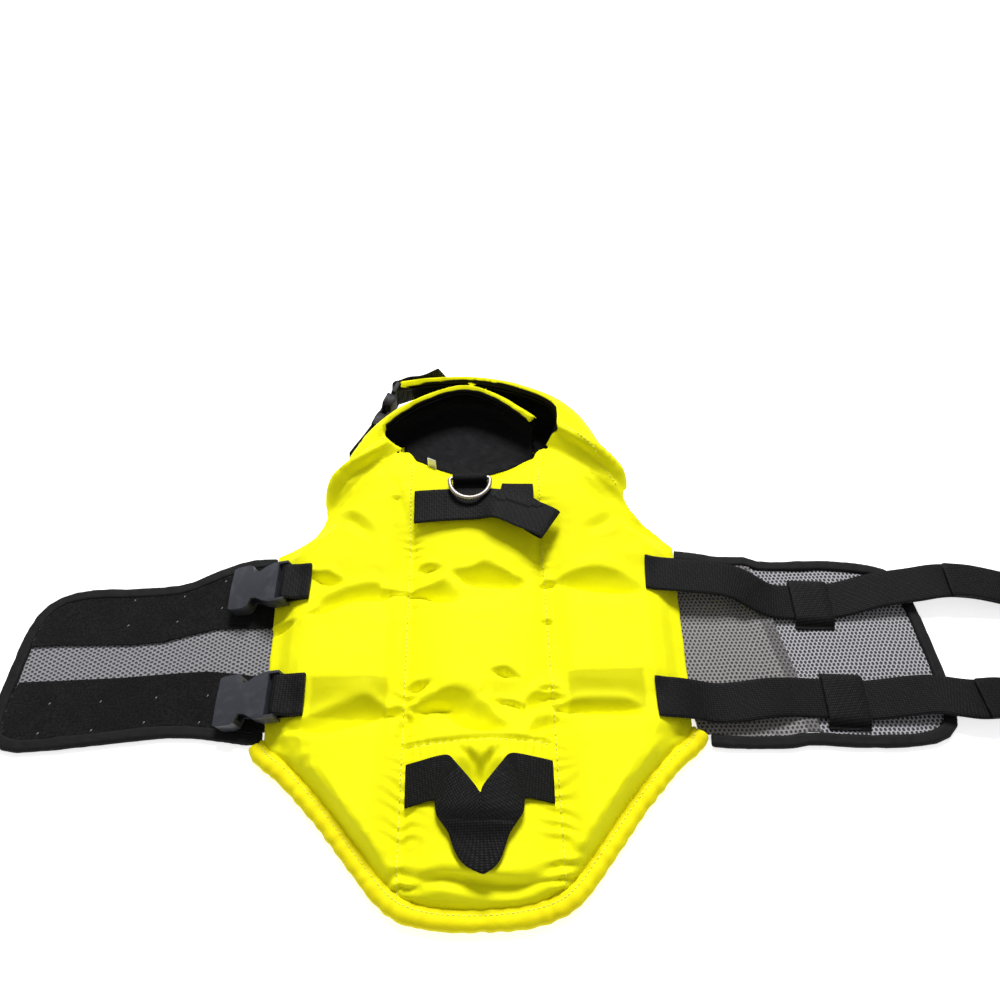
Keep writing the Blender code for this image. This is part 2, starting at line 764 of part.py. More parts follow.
def neck_flap(side, table, valley, rest, turn, cloth, lining, collection):
    """A flap and its lining; turn is +1 or -1 so that depth runs into the neck."""
    face = flap_face(table, valley, rest)
    wall(f"{side}_flap", face, thickened(face, FLAP_THICK * turn), cloth, collection)
    face = flap_face(table, valley, rest, start=0.03)
    outer = thickened(face, (FLAP_THICK + GAP) * turn)
    inner = thickened(face, (FLAP_THICK + GAP + LINING_THICK) * turn)
    wall(f"{side}_flap_lining", outer, inner, lining, collection)


# ---- belly bands --------------------------------------------------------------------------------

TAPE_SECTION = (  # in from the edge, height
    (0.0, 0.0),
    (0.0, TAPE_THICK - 1.0),
    (1.0, TAPE_THICK),
    (TAPE_WIDTH - 0.6, TAPE_THICK),
    (TAPE_WIDTH, TAPE_THICK - 0.5),
    (TAPE_WIDTH, 0.0),
)


def flat_sheet(name, outline, bottom, top, material, collection):
    """A flat piece of cloth with the given outline between two heights."""
    piece = plate(name, [outline], top - bottom, material, collection)
    piece.location.z = (top + bottom) / 2 * MM
    return piece


def root_line(start_y, end_y, sign):
    """Points along a band's sewn edge, just clear of the back's side."""
    count = 8
    ys = [start_y + (end_y - start_y) * k / count for k in range(count + 1)]
    return [(sign * (side_x(y) + GAP + 0.15), y) for y in ys]


def left_band(net, pile, tape, collection):
    """The net base, two pile strips on it, and the tape round three sides."""
    edge = even(LEFT_BAND_EDGE, 44)
    sweep("left_band_binding", edge, TAPE_SECTION, tape, collection)
    inner = inset(edge, TAPE_WIDTH + GAP)
    top_y, tail_y = inner[0][1], inner[-1][1]
    outline = inner + root_line(tail_y + 0.5, top_y, -1.0)
    flat_sheet("left_band_mesh", outline, 0.0, NET_THICK, net, collection)
    low, high = NET_THICK + GAP, NET_THICK + GAP + PILE_THICK
    upper = [p for p in inner if p[1] > lookup(NET_STRIPE, p[0]) + 1.0]
    lower = [p for p in inner if p[1] < lookup(NET_STRIPE, p[0], 2) - 1.0]
    upper_line = [(x, y) for x, y, _ in NET_STRIPE[:-1]]
    lower_line = [(x, y) for x, _, y in NET_STRIPE[:-1]]
    upper += upper_line + root_line(NET_STRIPE[-1][1], top_y, -1.0)
    flat_sheet("left_loop_upper", upper, low, high, pile, collection)
    lower += root_line(tail_y + 0.5, NET_STRIPE[-1][2], -1.0) + lower_line[::-1]
    flat_sheet("left_loop_lower", lower, low, high, pile, collection)


def net_seam_x(y):
    """The right band's net seam, which leans."""
    return NET_SEAM_X + NET_SEAM_LEAN * y


def right_band(net, tape, collection):
    """The two net pieces, the root lapping over the end, and the tape round three sides."""
    edge = even(RIGHT_BAND_EDGE, 44)
    sweep("right_band_binding", edge, [(-d, z) for d, z in TAPE_SECTION], tape, collection)
    inner = inset(edge, -(TAPE_WIDTH + GAP))
    turn = max(range(len(inner)), key=lambda i: inner[i][0])
    head = inner[: turn + 1]
    foot = inner[: turn - 1 : -1]

    def bounds(x):
        return lookup(foot, x) + 0.3, lookup(head, x) - 0.3

    over = [p for p in inner if p[0] > net_seam_x(p[1]) - NET_OVERLAP]
    flat_sheet("right_mesh_end", over, 0.0, NET_THICK, net, collection)
    columns, across = 10, 6
    upper, lower = [], []
    for i in range(columns + 1):
        rows = ([], [])
        for j in range(across + 1):
            x = NET_SEAM_X
            for _ in range(4):
                bottom, top = bounds(x)
                y = bottom + (top - bottom) * j / across
                root = max(side_x(y) + GAP + 0.15, 134.8 if y < -45.5 else 0.0)
                x = root + (net_seam_x(y) - root) * i / columns
            z = (NET_THICK + GAP) * smooth((x - net_seam_x(y) + NET_OVERLAP + 9.0) / 7.0)
            rows[0].append((x, y, z + NET_THICK))
            rows[1].append((x, y, z))
        upper.append(rows[0])
        lower.append(rows[1])
    wall("right_mesh_root", upper, lower, net, collection)


# ---- webbing ------------------------------------------------------------------------------------


def level(points, layers=None):
    """Ribbon stations for webbing that lies face up along a path of x, y, z."""
    stations = []
    for i, point in enumerate(points):
        a, b = points[max(i - 1, 0)], points[min(i + 1, len(points) - 1)]
        stations.append((point, (a[1] - b[1], b[0] - a[0], 0.0), layers))
    return stations


PLUG_REACH = 4.2  # from the centre of a plug half's bar to the middle of the webbing round it
ROD_REACH = BAR_RADIUS + 0.35 + WEB_THICK / 2


def belly_strap(name, table, turned_back, web, collection):
    """A right strap: sewn to the back, through its keeper, round the plug half's bar and back."""
    path = even(table, 34)
    on_back = sum(1 for x, _, _ in path if x < 134.0)
    stations = level(path, 0)[:on_back] + level(path)[on_back:]
    end_x, y, end_z = table[-1]
    bar = (end_x + 4.0, y, end_z + PLUG_REACH)
    across = (0.0, 1.0, 0.0)
    for x, z in arc((bar[0], bar[2]), PLUG_REACH, -90, 90, 6):
        stations.append(((x, y, z), across, None))
    steps = 7
    for k in range(steps + 1):
        x = table[-1][0] - 3.0 - (turned_back - 3.0) * k / steps
        lift = WEB_THICK + 0.5 + (2 * PLUG_REACH - WEB_THICK - 0.5) * smooth(1.0 - k / 2.2)
        stations.append(((x, lookup(table, x), lookup(table, x, 2) + lift), across, None))
    ribbon(name, stations, web, collection)
    return bar


def keeper(name, x, y, length, lean, strap, web, collection):
    """A short band sewn down on the net at both ends, over a strap."""
    yaw = math.radians(lean)
    stations = []
    count = 16
    for k in range(count + 1):
        s = (k / count - 0.5) * length
        px, py = x - math.sin(yaw) * s, y + math.cos(yaw) * s
        past_strap = abs(py - lookup(strap, px)) - WEB_WIDTH / 2
        low = NET_THICK + GAP + WEB_THICK / 2
        high = max(lookup(strap, px + d, 2) for d in (-12.0, 0.0, 12.0)) + WEB_THICK + GAP + 0.2
        z = low + (high - low) * smooth((4.6 - past_strap) / 3.4)
        stations.append(((px, py, z), (math.cos(yaw), math.sin(yaw), 0.0), None))
    ribbon(name, stations, web, collection, columns=2)


def buckle_loop(name, sewn_x, bar, web, collection):
    """Webbing sewn down on the back, round a buckle's bar and back over itself."""
    bar_x, y, bar_z = bar
    across = (0.0, 1.0, 0.0)
    turn = arc((bar_x, bar_z), ROD_REACH, -70, -290, 8)
    under = [(-sewn_x, 0.0, 0), (-sewn_x - 4.0, 0.0, 0), (-sewn_x - 8.5, 0.0, 0)]
    stations = [((x, y, z), across, layers) for x, z, layers in under]
    stations += [((x, y, z), across, None) for x, z in turn]
    stations += [((x, y, z), across, 1) for x, z, _ in under[::-1]]
    ribbon(name, stations, web, collection)


def upper_handle(web, collection):
    """The neck handle: sewn at both ends, its slack folded over to the right."""
    count = 44
    crest = cover(0.0, 112.0)
    stations = []
    for k in range(count + 1):
        x, y, height, yaw, share, layers = spline(UPPER_HANDLE, k * (len(UPPER_HANDLE) - 1) / count)
        turn = math.radians(yaw)
        across = (-math.sin(turn), math.cos(turn), 0.0)
        base = crest + (cover(x, y) - crest) * min(max(share, 0.0), 1.0)
        stations.append(((x, y, base + height), across, max(layers, 0.0)))
    ribbon("upper_handle", stations, web, collection, square=False)


def lower_handle(web, collection):
    """The tail handle: both ends sewn, its loop fallen towards the tail in a V."""
    mirror = [(-a, b, -c, d, h) for a, b, c, d, h in reversed(LOWER_HANDLE[:-1])]
    table = list(LOWER_HANDLE) + mirror
    rows = [spline(table, k / 2) for k in range(2 * (len(table) - 1) + 1)]
    top, bottom = [], []
    for ix, iy, ox, oy, height in rows:
        points = [(ix + (ox - ix) * s, iy + (oy - iy) * s) for s in (0.0, 1 / 3, 2 / 3, 1.0)]
        raised = [(x, y, cover(x, max(y, -124.0)) + height - WEB_THICK / 2) for x, y in points]
        top.append([(x, y, z + WEB_THICK) for x, y, z in raised])
        bottom.append(raised)
    wall("lower_handle", top, bottom, web, collection)


# ---- D-ring -------------------------------------------------------------------------------------


def ring_axis():
    """Centre of the ring's straight bar."""
    return (RING_X, RING_BAR_Y, cover(RING_X, RING_BAR_Y) + 4.6)


def d_ring(material, collection):
    """The ring, lying on the handle: a straight bar and a bow, as one bent wire."""
    x, y, z = ring_axis()
    bow_z = cover(0.0, 112.0) + 1.6 + WEB_THICK + GAP + RING_WIRE / 2 + 1.3
    half = RING_WIDTH / 2
    fall = (bow_z - z) / RING_HEIGHT
    straight = RING_HEIGHT - half
    outline = [(-half, 0.0), (0.0, 0.0), *arc((0.0, straight), half, 0, 180, 14)]
    outline.insert(2, (half, 0.0))
    curve = bpy.data.curves.new("d_ring", "CURVE")
    curve.dimensions = "3D"
    curve.bevel_depth = RING_WIRE / 2 * MM
    curve.bevel_resolution = 2
    line = curve.splines.new("POLY")
    line.points.add(len(outline) - 1)
    for point, (across, out) in zip(line.points, outline):
        point.co = (across * MM, -out * MM, out * fall * MM, 1.0)
    line.use_cyclic_u = True
    ring = curve_to_mesh("d_ring", curve, material, collection)
    ring.location = Vector((x, y, z)) * MM
    ring.data.shade_smooth()
    return ring


def d_ring_tab(web, collection):
    """Webbing from the neckline, round the ring's bar and back over itself."""
    x, y, z = ring_axis()
    across = (1.0, 0.0, 0.0)
    reach = RING_WIRE / 2 + 0.35 + WEB_THICK / 2
    sewn = (y + TAB_LENGTH, y + 7.4, y + 5.2)
    stations = [((x, py, 0.0), across, 0) for py in sewn]
    for py, pz in arc((y, z), reach, -60, -300, 8):
        stations.append(((x, py, pz), across, None))
    stations += [((x, py, 0.0), across, TAB_FOLD) for py in sewn[::-1]]
    ribbon("d_ring_tab", stations, web, collection, width=TAB_WIDTH)


# ---- buckles ------------------------------------------------------------------------------------

SOCKET_SIDE = (  # x from the bar, half width, along the socket half's side to its mouth
    (4.4, 15.0),
    (8.5, 14.8),
    (14.0, 12.8),
    (18.0, 10.4),
    (22.0, 9.8),
    (23.2, 12.6),
    (24.2, 15.4),
    (27.0, 16.4),
    (35.5, 16.2),
    (38.0, 15.0),
)
CHEEK_INNER = 13.3
SOCKET_HALF_WIDTH, SOCKET_HALF_HEIGHT, SOCKET_BACK = 12.6, 2.7, 14.0
PLUG_SIDE = (  # x from the bar, half width, round the plug half's frame and its side tine
    (-2.1, 15.5),
    (-1.1, 16.5),
    (11.5, 16.5),
    (13.0, 15.2),
    (13.0, 11.8),
    (26.0, 12.1),
    (30.0, 9.6),
    (30.0, 7.0),
    (17.0, 7.2),
    (17.0, 3.4),
    (29.5, 3.1),
    (30.0, 1.6),
)
PLUG_SLOT = (2.1, 7.1, 13.3)  # x from, x to, half width
PLUG_THICK = 4.4
PLUG_TO_MOUTH = 13.3  # from the plug half's bar to the socket's mouth when fastened


def socket_half(name, material, collection, cutters, size=1.0):
    """The socket half along +x from its bar: cheeks, bar and a hollow body with side windows."""
    upper = [(x * size, w * size) for x, w in SOCKET_SIDE]
    tip, inner, back = -BAR_RADIUS * size, CHEEK_INNER * size, SOCKET_SIDE[0][0] * size
    outline = upper + [(BUCKLE_LENGTH * size, 0.0)] + [(x, -w) for x, w in upper[::-1]]
    outline += [(tip, -14.8 * size), (tip, -inner), (back, -inner), (back, inner), (tip, inner)]
    outline += [(tip, 14.8 * size)]
    body = plate(name, [outline], BUCKLE_THICK * size, material, collection)
    rod = new_rod(name + "_bar", BAR_RADIUS * size, 2 * (inner + 1.6 * size), cutters)
    low = (SOCKET_BACK * size, -SOCKET_HALF_WIDTH * size, -SOCKET_HALF_HEIGHT * size)
    high = ((BUCKLE_LENGTH + 2.0) * size, SOCKET_HALF_WIDTH * size, SOCKET_HALF_HEIGHT * size)
    socket = cutter_box(name + "_socket", low, high, cutters)
    combine(body, rod, "UNION")
    combine(body, socket, "DIFFERENCE")
    return body, rod, socket


def new_rod(name, radius, length, collection):
    """A hidden round bar along Y."""
    mesh = bpy.data.meshes.new(name)
    shape = bmesh.new()
    turn = Matrix.Rotation(math.radians(90), 4, "X")
    bmesh.ops.create_cone(
        shape,
        cap_ends=True,
        segments=12,
        radius1=radius * MM,
        radius2=radius * MM,
        depth=length * MM,
        matrix=turn,
    )
    shape.to_mesh(mesh)
    shape.free()
    rod = bpy.data.objects.new(name, mesh)
    collection.objects.link(rod)
    rod.hide_render = True
    rod.display_type = "WIRE"
    return rod


def plug_half(name, material, collection, size=1.0):
    """The plug half along +x from its bar: a frame, two side tines and a centre guide."""
    upper = [(x * size, w * size) for x, w in PLUG_SIDE]
    outline = upper + [(x, -w) for x, w in upper[::-1]]
    start, end, half = (value * size for value in PLUG_SLOT)
    slot = [(start, -half), (start, half), (end, half), (end, -half)]
    return plate(name, [outline, slot], PLUG_THICK * size, material, collection)


def place(objects, point, along, roll=0.0):
    """Turns objects built along +x to point along a direction, rolled about it, at a point."""
    forward = Vector(along).normalized()
    side = Vector((0.0, 0.0, 1.0)).cross(forward).normalized()
    up = forward.cross(side)
    turn = Matrix((forward, side, up)).transposed().to_4x4()
    turn = turn @ Matrix.Rotation(math.radians(roll), 4, "X")
    for piece in objects:
        piece.matrix_world = Matrix.Translation(Vector(point) * MM) @ turn


# ---- neck closure -------------------------------------------------------------------------------


def neck_closure(web, plastic, collection, cutters):
    """The fastened neck buckle on its side, and the webbing that holds each half."""
    socket_bar, plug_bar = (Vector(bar) for bar in NECK_BARS)
    along = (plug_bar - socket_bar).normalized()
    socket = socket_half("neck_buckle_socket", plastic, collection, cutters, NECK_SIZE)
    place(socket, socket_bar, along, 90.0 + NECK_LEAN)
    plug_bar = socket_bar + along * (BUCKLE_LENGTH + PLUG_TO_MOUTH + GAP) * NECK_SIZE
    plug = plug_half("neck_buckle_plug", plastic, collection, NECK_SIZE)
    place([plug], plug_bar, -along, 90.0 - NECK_LEAN)
    lean = math.radians(NECK_LEAN)
    side = Vector((0.0, 0.0, 1.0)).cross(along).normalized()
    upright = along.cross(side) * math.cos(lean) - side * math.sin(lean)
    width = WEB_WIDTH * NECK_SIZE

    def loop(bar, pull, reach, turn):
        """Stations round a bar whose webbing leaves towards pull; turn is the first side, in degrees."""
        away = -Vector(pull)
        away = (away - upright * away.dot(upright)).normalized()
        beside = upright.cross(away).normalized()
        turns = arc((0.0, 0.0), reach, turn, -turn, 8)
        return [(bar + away * a + beside * b, upright, None) for a, b in turns]

    stations = [(point, (0.0, 0.0, 1.0), None) for point in NECK_STRAP_SEWN]
    stations += loop(plug_bar, (0.95, -0.1, 0.0), PLUG_REACH * NECK_SIZE + 0.8, 98)
    stations += [(point, (0.0, 0.0, 1.0), None) for point in NECK_STRAP_FREE]
    ribbon("neck_strap", stations, web, collection, width=width)
    inner = [(Vector(point), upright, None) for point in NECK_WEB_SEWN]
    outer = [(point + side * (WEB_THICK + GAP), upright, None) for point, _, _ in inner]
    pull = inner[-1][0] + side * (WEB_THICK + GAP) / 2 - socket_bar
    turned = loop(socket_bar, pull, BAR_RADIUS * NECK_SIZE + 0.4 + WEB_THICK / 2, -104)
    stations = inner + turned + outer[::-1]
    ribbon("neck_web", stations, web, collection, width=width)


def neck_tab(material, collection):
    """The small blank tab that stands at the neckline on the lining side."""
    (x0, y0), (x1, y1) = NECK_TAB
    low, high, thick = 19.0, 31.5, 0.8
    near = [[(x0, y0, low), (x0, y0, high)], [(x1, y1, low), (x1, y1, high)]]
    far = [[(x, y + thick, z) for x, y, z in row] for row in near]
    wall("neck_tab", near, far, material, collection)


# ---- the whole jacket ---------------------------------------------------------------------------


def main():
    """Builds every piece."""
    clear_scene()
    jacket = new_collection("dog_life_jacket")
    cutters = new_collection("cutters")
    yellow = new_material("yellow_nylon", YELLOW, 0.45)
    lining = new_material("lining_nylon", BLACK, 0.4)
    net = new_material("grey_net", NET_GREY, 0.8)
    pile = new_material("loop_pile", BLACK, 0.95)
    tape = new_material("edge_tape", BLACK, 0.8)
    web = new_material("webbing", BLACK, 0.7)
    plastic = new_material("buckle_plastic", SLATE, 0.35)
    steel = new_material("ring_steel", STEEL, 0.22, 1.0)
    white = new_material("white_tape", WHITE, 0.6)
    new_material("cutter", WHITE, 0.5)

    back_centre(yellow, jacket)
    back_side("back_left", -1.0, VALLEY, ARMHOLE, yellow, jacket)
    back_side("back_right", 1.0, RIGHT_VALLEY, RIGHT_ARMHOLE, yellow, jacket)
    tail_binding(yellow, jacket)
    neck_flap("right", RIGHT_FLAP, RIGHT_VALLEY, RIGHT_FLAP_REST, 1.0, yellow, lining, jacket)
    neck_flap("left", LEFT_FLAP, VALLEY, LEFT_FLAP_REST, -1.0, yellow, lining, jacket)
    left_band(net, pile, tape, jacket)
    right_band(net, tape, jacket)

    for label, table, turned_back in zip(("upper", "lower"), (STRAP_UPPER, STRAP_LOWER), FREE_END_BACK):
        bar = belly_strap(f"right_strap_{label}", table, turned_back, web, jacket)
        place([plug_half(f"male_buckle_{label}", plastic, jacket)], bar, (1.0, 0.0, 0.0))
    for (name, x, y, length, lean), table in zip(KEEPERS, (STRAP_UPPER, STRAP_LOWER)):
        keeper(name, x, y, length, lean, table, web, jacket)
    for label, sewn_x, bar_x, y, bar_z in LEFT_LOOPS:
        bar = (bar_x, y, bar_z)
        buckle_loop(f"left_loop_web_{label}", sewn_x, bar, web, jacket)
        halves = socket_half(f"female_buckle_{label}", plastic, jacket, cutters)
        dip = math.radians(BUCKLE_DIP)
        place(halves, bar, (-math.cos(dip), 0.0, -math.sin(dip)))
    upper_handle(web, jacket)
    lower_handle(web, jacket)
    d_ring_tab(web, jacket)
    d_ring(steel, jacket)
    neck_closure(web, plastic, jacket, cutters)
    neck_tab(white, jacket)


main()
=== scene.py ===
"""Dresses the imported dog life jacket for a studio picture.

Each solid is replaced by a piece with the soft shape, sewing and finish of the real cloth, webbing or
fitting. Tables are in millimetres in the jacket's own frame: +X towards the right belly straps, +Y
towards the neck, +Z up, with the origin under the middle of the back.
"""

import logging
import math
from dataclasses import dataclass, field
from enum import Enum
from typing import Sequence

import bmesh
import bpy
import numpy as np
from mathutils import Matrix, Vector
from mathutils.bvhtree import BVHTree


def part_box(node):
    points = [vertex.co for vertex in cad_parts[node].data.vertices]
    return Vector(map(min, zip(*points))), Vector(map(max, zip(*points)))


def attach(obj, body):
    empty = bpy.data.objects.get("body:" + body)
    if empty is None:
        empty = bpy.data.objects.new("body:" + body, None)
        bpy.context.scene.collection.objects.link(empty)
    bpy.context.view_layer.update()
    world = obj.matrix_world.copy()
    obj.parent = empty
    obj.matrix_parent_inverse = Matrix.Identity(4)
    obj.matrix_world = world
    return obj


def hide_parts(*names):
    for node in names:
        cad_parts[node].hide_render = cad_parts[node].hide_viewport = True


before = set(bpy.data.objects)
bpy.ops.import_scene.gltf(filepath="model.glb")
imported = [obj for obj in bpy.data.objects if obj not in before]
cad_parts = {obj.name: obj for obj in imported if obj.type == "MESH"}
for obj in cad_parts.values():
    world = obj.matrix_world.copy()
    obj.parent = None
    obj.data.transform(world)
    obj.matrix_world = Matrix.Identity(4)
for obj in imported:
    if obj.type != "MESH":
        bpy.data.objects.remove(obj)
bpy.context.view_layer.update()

MM = 0.001
WELD = 2e-6  # metres within which two points are one
SEAM_STEP = 0.5  # between the places along a seam where a stitch can sit
JACKET = "jacket"
LOG = logging.getLogger("jacket")

Points = Sequence[Sequence[float]]
Socket = bpy.types.NodeSocket
Source = Socket | float | tuple[float, ...]


class Slot(Enum):
    """The record's material slots."""

    NYLON = "yellow_nylon"
    LINING = "lining_nylon"
    NET = "grey_net"
    PILE = "loop_pile"
    TAPE = "edge_tape"
    WEBBING = "webbing"
    PLASTIC = "buckle_plastic"
    STEEL = "ring_steel"
    LABEL = "white_tape"


# ---- curves and fields --------------------------------------------------------------------------


def smooth(value: np.ndarray) -> np.ndarray:
    """A smooth step from 0 to 1."""
    t = np.clip(value, 0.0, 1.0)
    return t * t * (3.0 - 2.0 * t)


def hump(value: np.ndarray, centre: float, half: float) -> np.ndarray:
    """1 at the centre and 0 from half away."""
    return smooth(1.0 - np.abs(value - centre) / half)


def curve(rows: Points, step: float) -> np.ndarray:
    """A smooth curve through rows, as evenly spaced points.

    Args:
        rows: points of two, three or more columns; the first three are places.
        step: distance between the points returned.

    Returns:
        One row a point, with all of the columns.
    """
    points = np.array(rows, float)
    padded = np.vstack([points[:1], points, points[-1:]])
    t = np.linspace(0.0, 1.0, 12, endpoint=False)[:, None]
    spans = []
    for i in range(len(points) - 1):
        a, b, c, d = padded[i : i + 4]
        spans.append(0.5 * (2 * b + (c - a) * t + (2 * a - 5 * b + 4 * c - d) * t**2 + (3 * (b - c) + d - a) * t**3))
    fine = np.vstack([*spans, points[-1:]])
    steps = np.linalg.norm(np.diff(fine[:, :3], axis=0), axis=1)
    travelled = np.concatenate([[0.0], np.cumsum(steps)])
    marks = np.linspace(0.0, travelled[-1], max(round(travelled[-1] / step), 1) + 1)
    return np.column_stack([np.interp(marks, travelled, column) for column in fine.T])


def nearest(path: np.ndarray, spots: np.ndarray) -> tuple[np.ndarray, np.ndarray, np.ndarray]:
    """Where each spot lies along a path.

    Args:
        path: points of two or three columns.
        spots: points of as many columns.

    Returns:
        Each spot's distance from the path, its signed distance to the path's left in plan, and how far
        along the path it lies.
    """
    start, leg = path[:-1], np.diff(path, axis=0)
    lengths = np.linalg.norm(leg, axis=1)
    travelled = np.concatenate([[0.0], np.cumsum(lengths)])
    distance = np.empty(len(spots))
    side = np.empty(len(spots))
    reach = np.empty(len(spots))
    for low in range(0, len(spots), 20000):
        part = spots[low : low + 20000]
        away = part[:, None, :] - start[None]
        share = np.clip((away * leg).sum(-1) / (lengths**2), 0.0, 1.0)
        gap = away - share[..., None] * leg
        squared = (gap**2).sum(-1)
        best = squared.argmin(1)
        row = np.arange(len(part))
        turn = leg[best, 0] * gap[row, best, 1] - leg[best, 1] * gap[row, best, 0]
        distance[low : low + 20000] = np.sqrt(squared[row, best])
        side[low : low + 20000] = np.sign(turn) * np.linalg.norm(gap[row, best, :2], axis=1)
        reach[low : low + 20000] = travelled[best] + share[row, best] * lengths[best]
    return distance, side, reach


class Unevenness:
    """Smooth seeded noise in space, from -1 to 1."""

    def __init__(self, seed: int, size: int = 24) -> None:
        """Draws the lattice."""
        self.size = size
        self.lattice = np.random.RandomState(seed).uniform(-1.0, 1.0, (size, size, size))

    def __call__(self, places: np.ndarray, scale: Points | float) -> np.ndarray:
        """The noise at places whose waves are about scale long.

        Args:
            places: one row a point.
            scale: a length, or one for each axis.

        Returns:
            One value a point.
        """
        q = places / np.asarray(scale, float)
        cell = np.floor(q).astype(int)
        f = smooth(q - cell)
        value = np.zeros(len(places))
        for corner in np.ndindex(2, 2, 2):
            index = (cell + corner) % self.size
            weight = np.prod(np.where(corner, f, 1.0 - f), axis=1)
            value += weight * self.lattice[index[:, 0], index[:, 1], index[:, 2]]
        return value


NOISE = Unevenness(seed=11)


@dataclass(frozen=True)
class Crease:
    """A fold in the cloth: a trough along a path, with a slope of its own width on each side.

    Its rows are x, y, depth, width of the slope on the path's left, width of the slope on its right.
    """

    rows: Points
    crest: float = 0.22  # how far the left slope's far end stands up, as a share of the depth

    def relief(self, places: np.ndarray) -> np.ndarray:
        """How far the fold moves the cloth outwards at each place."""
        line = curve(self.rows, 1.5)
        plan = line[:, :2]
        margin = 1.8 * line[:, 3:].max()
        inside = np.all((places[:, :2] > plan.min(0) - margin) & (places[:, :2] < plan.max(0) + margin), axis=1)
        relief = np.zeros(len(places))
        if not inside.any():
            return relief
        distance, side, reach = nearest(plan, places[inside, :2])
        travelled = np.concatenate([[0.0], np.cumsum(np.linalg.norm(np.diff(plan, axis=0), axis=1))])
        depth, left, right = (np.interp(reach, travelled, column) for column in line[:, 2:].T)
        share = distance / np.maximum(np.where(side > 0.0, left, right), 0.5)
        trough = 0.5 * (1.0 - np.clip(share, 0.0, 1.0)) ** 1.5 + 0.5 * smooth(1.0 - share)
        crest = np.where(side > 0.0, np.exp(-(((share - 1.05) / 0.42) ** 2)), 0.0)
        relief[inside] = depth * (self.crest * crest - trough)
        return relief


# ---- meshes -------------------------------------------------------------------------------------


def add_object(name: str, data: bpy.types.ID) -> bpy.types.Object:
    """An object in the scene's collection."""
    piece = bpy.data.objects.new(name, data)
    bpy.context.scene.collection.objects.link(piece)
    return piece


def welded(node: str) -> bmesh.types.BMesh:
    """A copy of a node's solid as one closed mesh, with its triangles joined into quads."""
    shape = bmesh.new()
    shape.from_mesh(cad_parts[node].data)
    bmesh.ops.remove_doubles(shape, verts=shape.verts, dist=WELD)
    bmesh.ops.join_triangles(
        shape,
        faces=shape.faces,
        cmp_seam=False,
        cmp_sharp=False,
        cmp_uvs=False,
        cmp_vcols=False,
        cmp_materials=False,
        angle_face_threshold=math.radians(35),
        angle_shape_threshold=math.radians(100),
    )
    return shape


def made(name: str, shape: bmesh.types.BMesh) -> bpy.types.Object:
    """An object from a bmesh, which is then freed."""
    mesh = bpy.data.meshes.new(name)
    shape.to_mesh(mesh)
    shape.free()
    return add_object(name, mesh)


def applied(piece: bpy.types.Object) -> bpy.types.Object:
    """The piece with its modifiers made part of its mesh."""
    bpy.context.view_layer.update()
    result = bpy.data.meshes.new_from_object(piece.evaluated_get(bpy.context.evaluated_depsgraph_get()))
    old = piece.data
    piece.modifiers.clear()
    piece.data = result
    bpy.data.meshes.remove(old)
    return piece


def softened(name: str, nodes: Sequence[str], voxel: float, rounds: int, closing: float = 0.0) -> bpy.types.Object:
    """Thick nodes as one even mesh with its edges rounded off.

    Args:
        name: the new piece's name.
        nodes: the solids that it starts from.
        voxel: size of its faces.
        rounds: how often it is smoothed.
        closing: half of the widest gap between two solids that the cloth bridges.

    Returns:
        The new piece.
    """
    whole = bmesh.new()
    for node in nodes:
        part = bpy.data.meshes.new("part")
        shape = welded(node)
        shape.to_mesh(part)
        shape.free()
        whole.from_mesh(part)
        bpy.data.meshes.remove(part)
    piece = made(name, whole)
    swell(piece, closing)
    remesh = piece.modifiers.new("even", "REMESH")
    remesh.mode = "VOXEL"
    remesh.voxel_size = voxel * MM
    swell(piece, -closing)
    rounding = piece.modifiers.new("rounding", "SMOOTH")
    rounding.factor = 0.5
    rounding.iterations = rounds
    return applied(piece)


def swell(piece: bpy.types.Object, distance: float) -> None:
    """Moves a piece's surface outwards by a modifier."""
    push = piece.modifiers.new("swell", "DISPLACE")
    push.mid_level = 0.0
    push.strength = distance * MM


def subdivided(name: str, node: str, levels: int) -> bpy.types.Object:
    """A thin node, subdivided, with its sharp edges kept."""
    shape = welded(node)
    hold = shape.edges.layers.float.new("crease_edge")
    for edge in shape.edges:
        if len(edge.link_faces) == 2 and edge.calc_face_angle() > math.radians(50):
            edge[hold] = 0.8
    piece = made(name, shape)
    step = piece.modifiers.new("subdivision", "SUBSURF")
    step.levels = step.render_levels = levels
    return applied(piece)


def diced(name: str, node: str, step: float) -> bpy.types.Object:
    """A flat node cut along an even square net, so that it can be shaped."""
    shape = bmesh.new()
    shape.from_mesh(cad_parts[node].data)
    bmesh.ops.remove_doubles(shape, verts=shape.verts, dist=WELD)
    low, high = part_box(node)
    for axis in (0, 1):
        normal = Vector((1.0, 0.0, 0.0) if axis == 0 else (0.0, 1.0, 0.0))
        count = int((high[axis] - low[axis]) / (step * MM))
        for k in range(1, count + 1):
            everything = [*shape.verts, *shape.edges, *shape.faces]
            place = normal * (low[axis] + k * step * MM)
            bmesh.ops.bisect_plane(shape, geom=everything, dist=1e-6, plane_co=place, plane_no=normal)
    return made(name, shape)


def places_of(piece: bpy.types.Object) -> tuple[np.ndarray, np.ndarray]:
    """A piece's points and their normals, in millimetres."""
    count = len(piece.data.vertices)
    places, normals = np.empty(count * 3), np.empty(count * 3)
    piece.data.vertices.foreach_get("co", places)
    piece.data.vertex_normals.foreach_get("vector", normals)
    return places.reshape(-1, 3) / MM, normals.reshape(-1, 3)


def moved(piece: bpy.types.Object, places: np.ndarray) -> None:
    """Puts a piece's points at places in millimetres, none of them under the floor."""
    above = np.maximum(places, (-np.inf, -np.inf, 0.0))
    piece.data.vertices.foreach_set("co", (above * MM).ravel())
    piece.data.update()


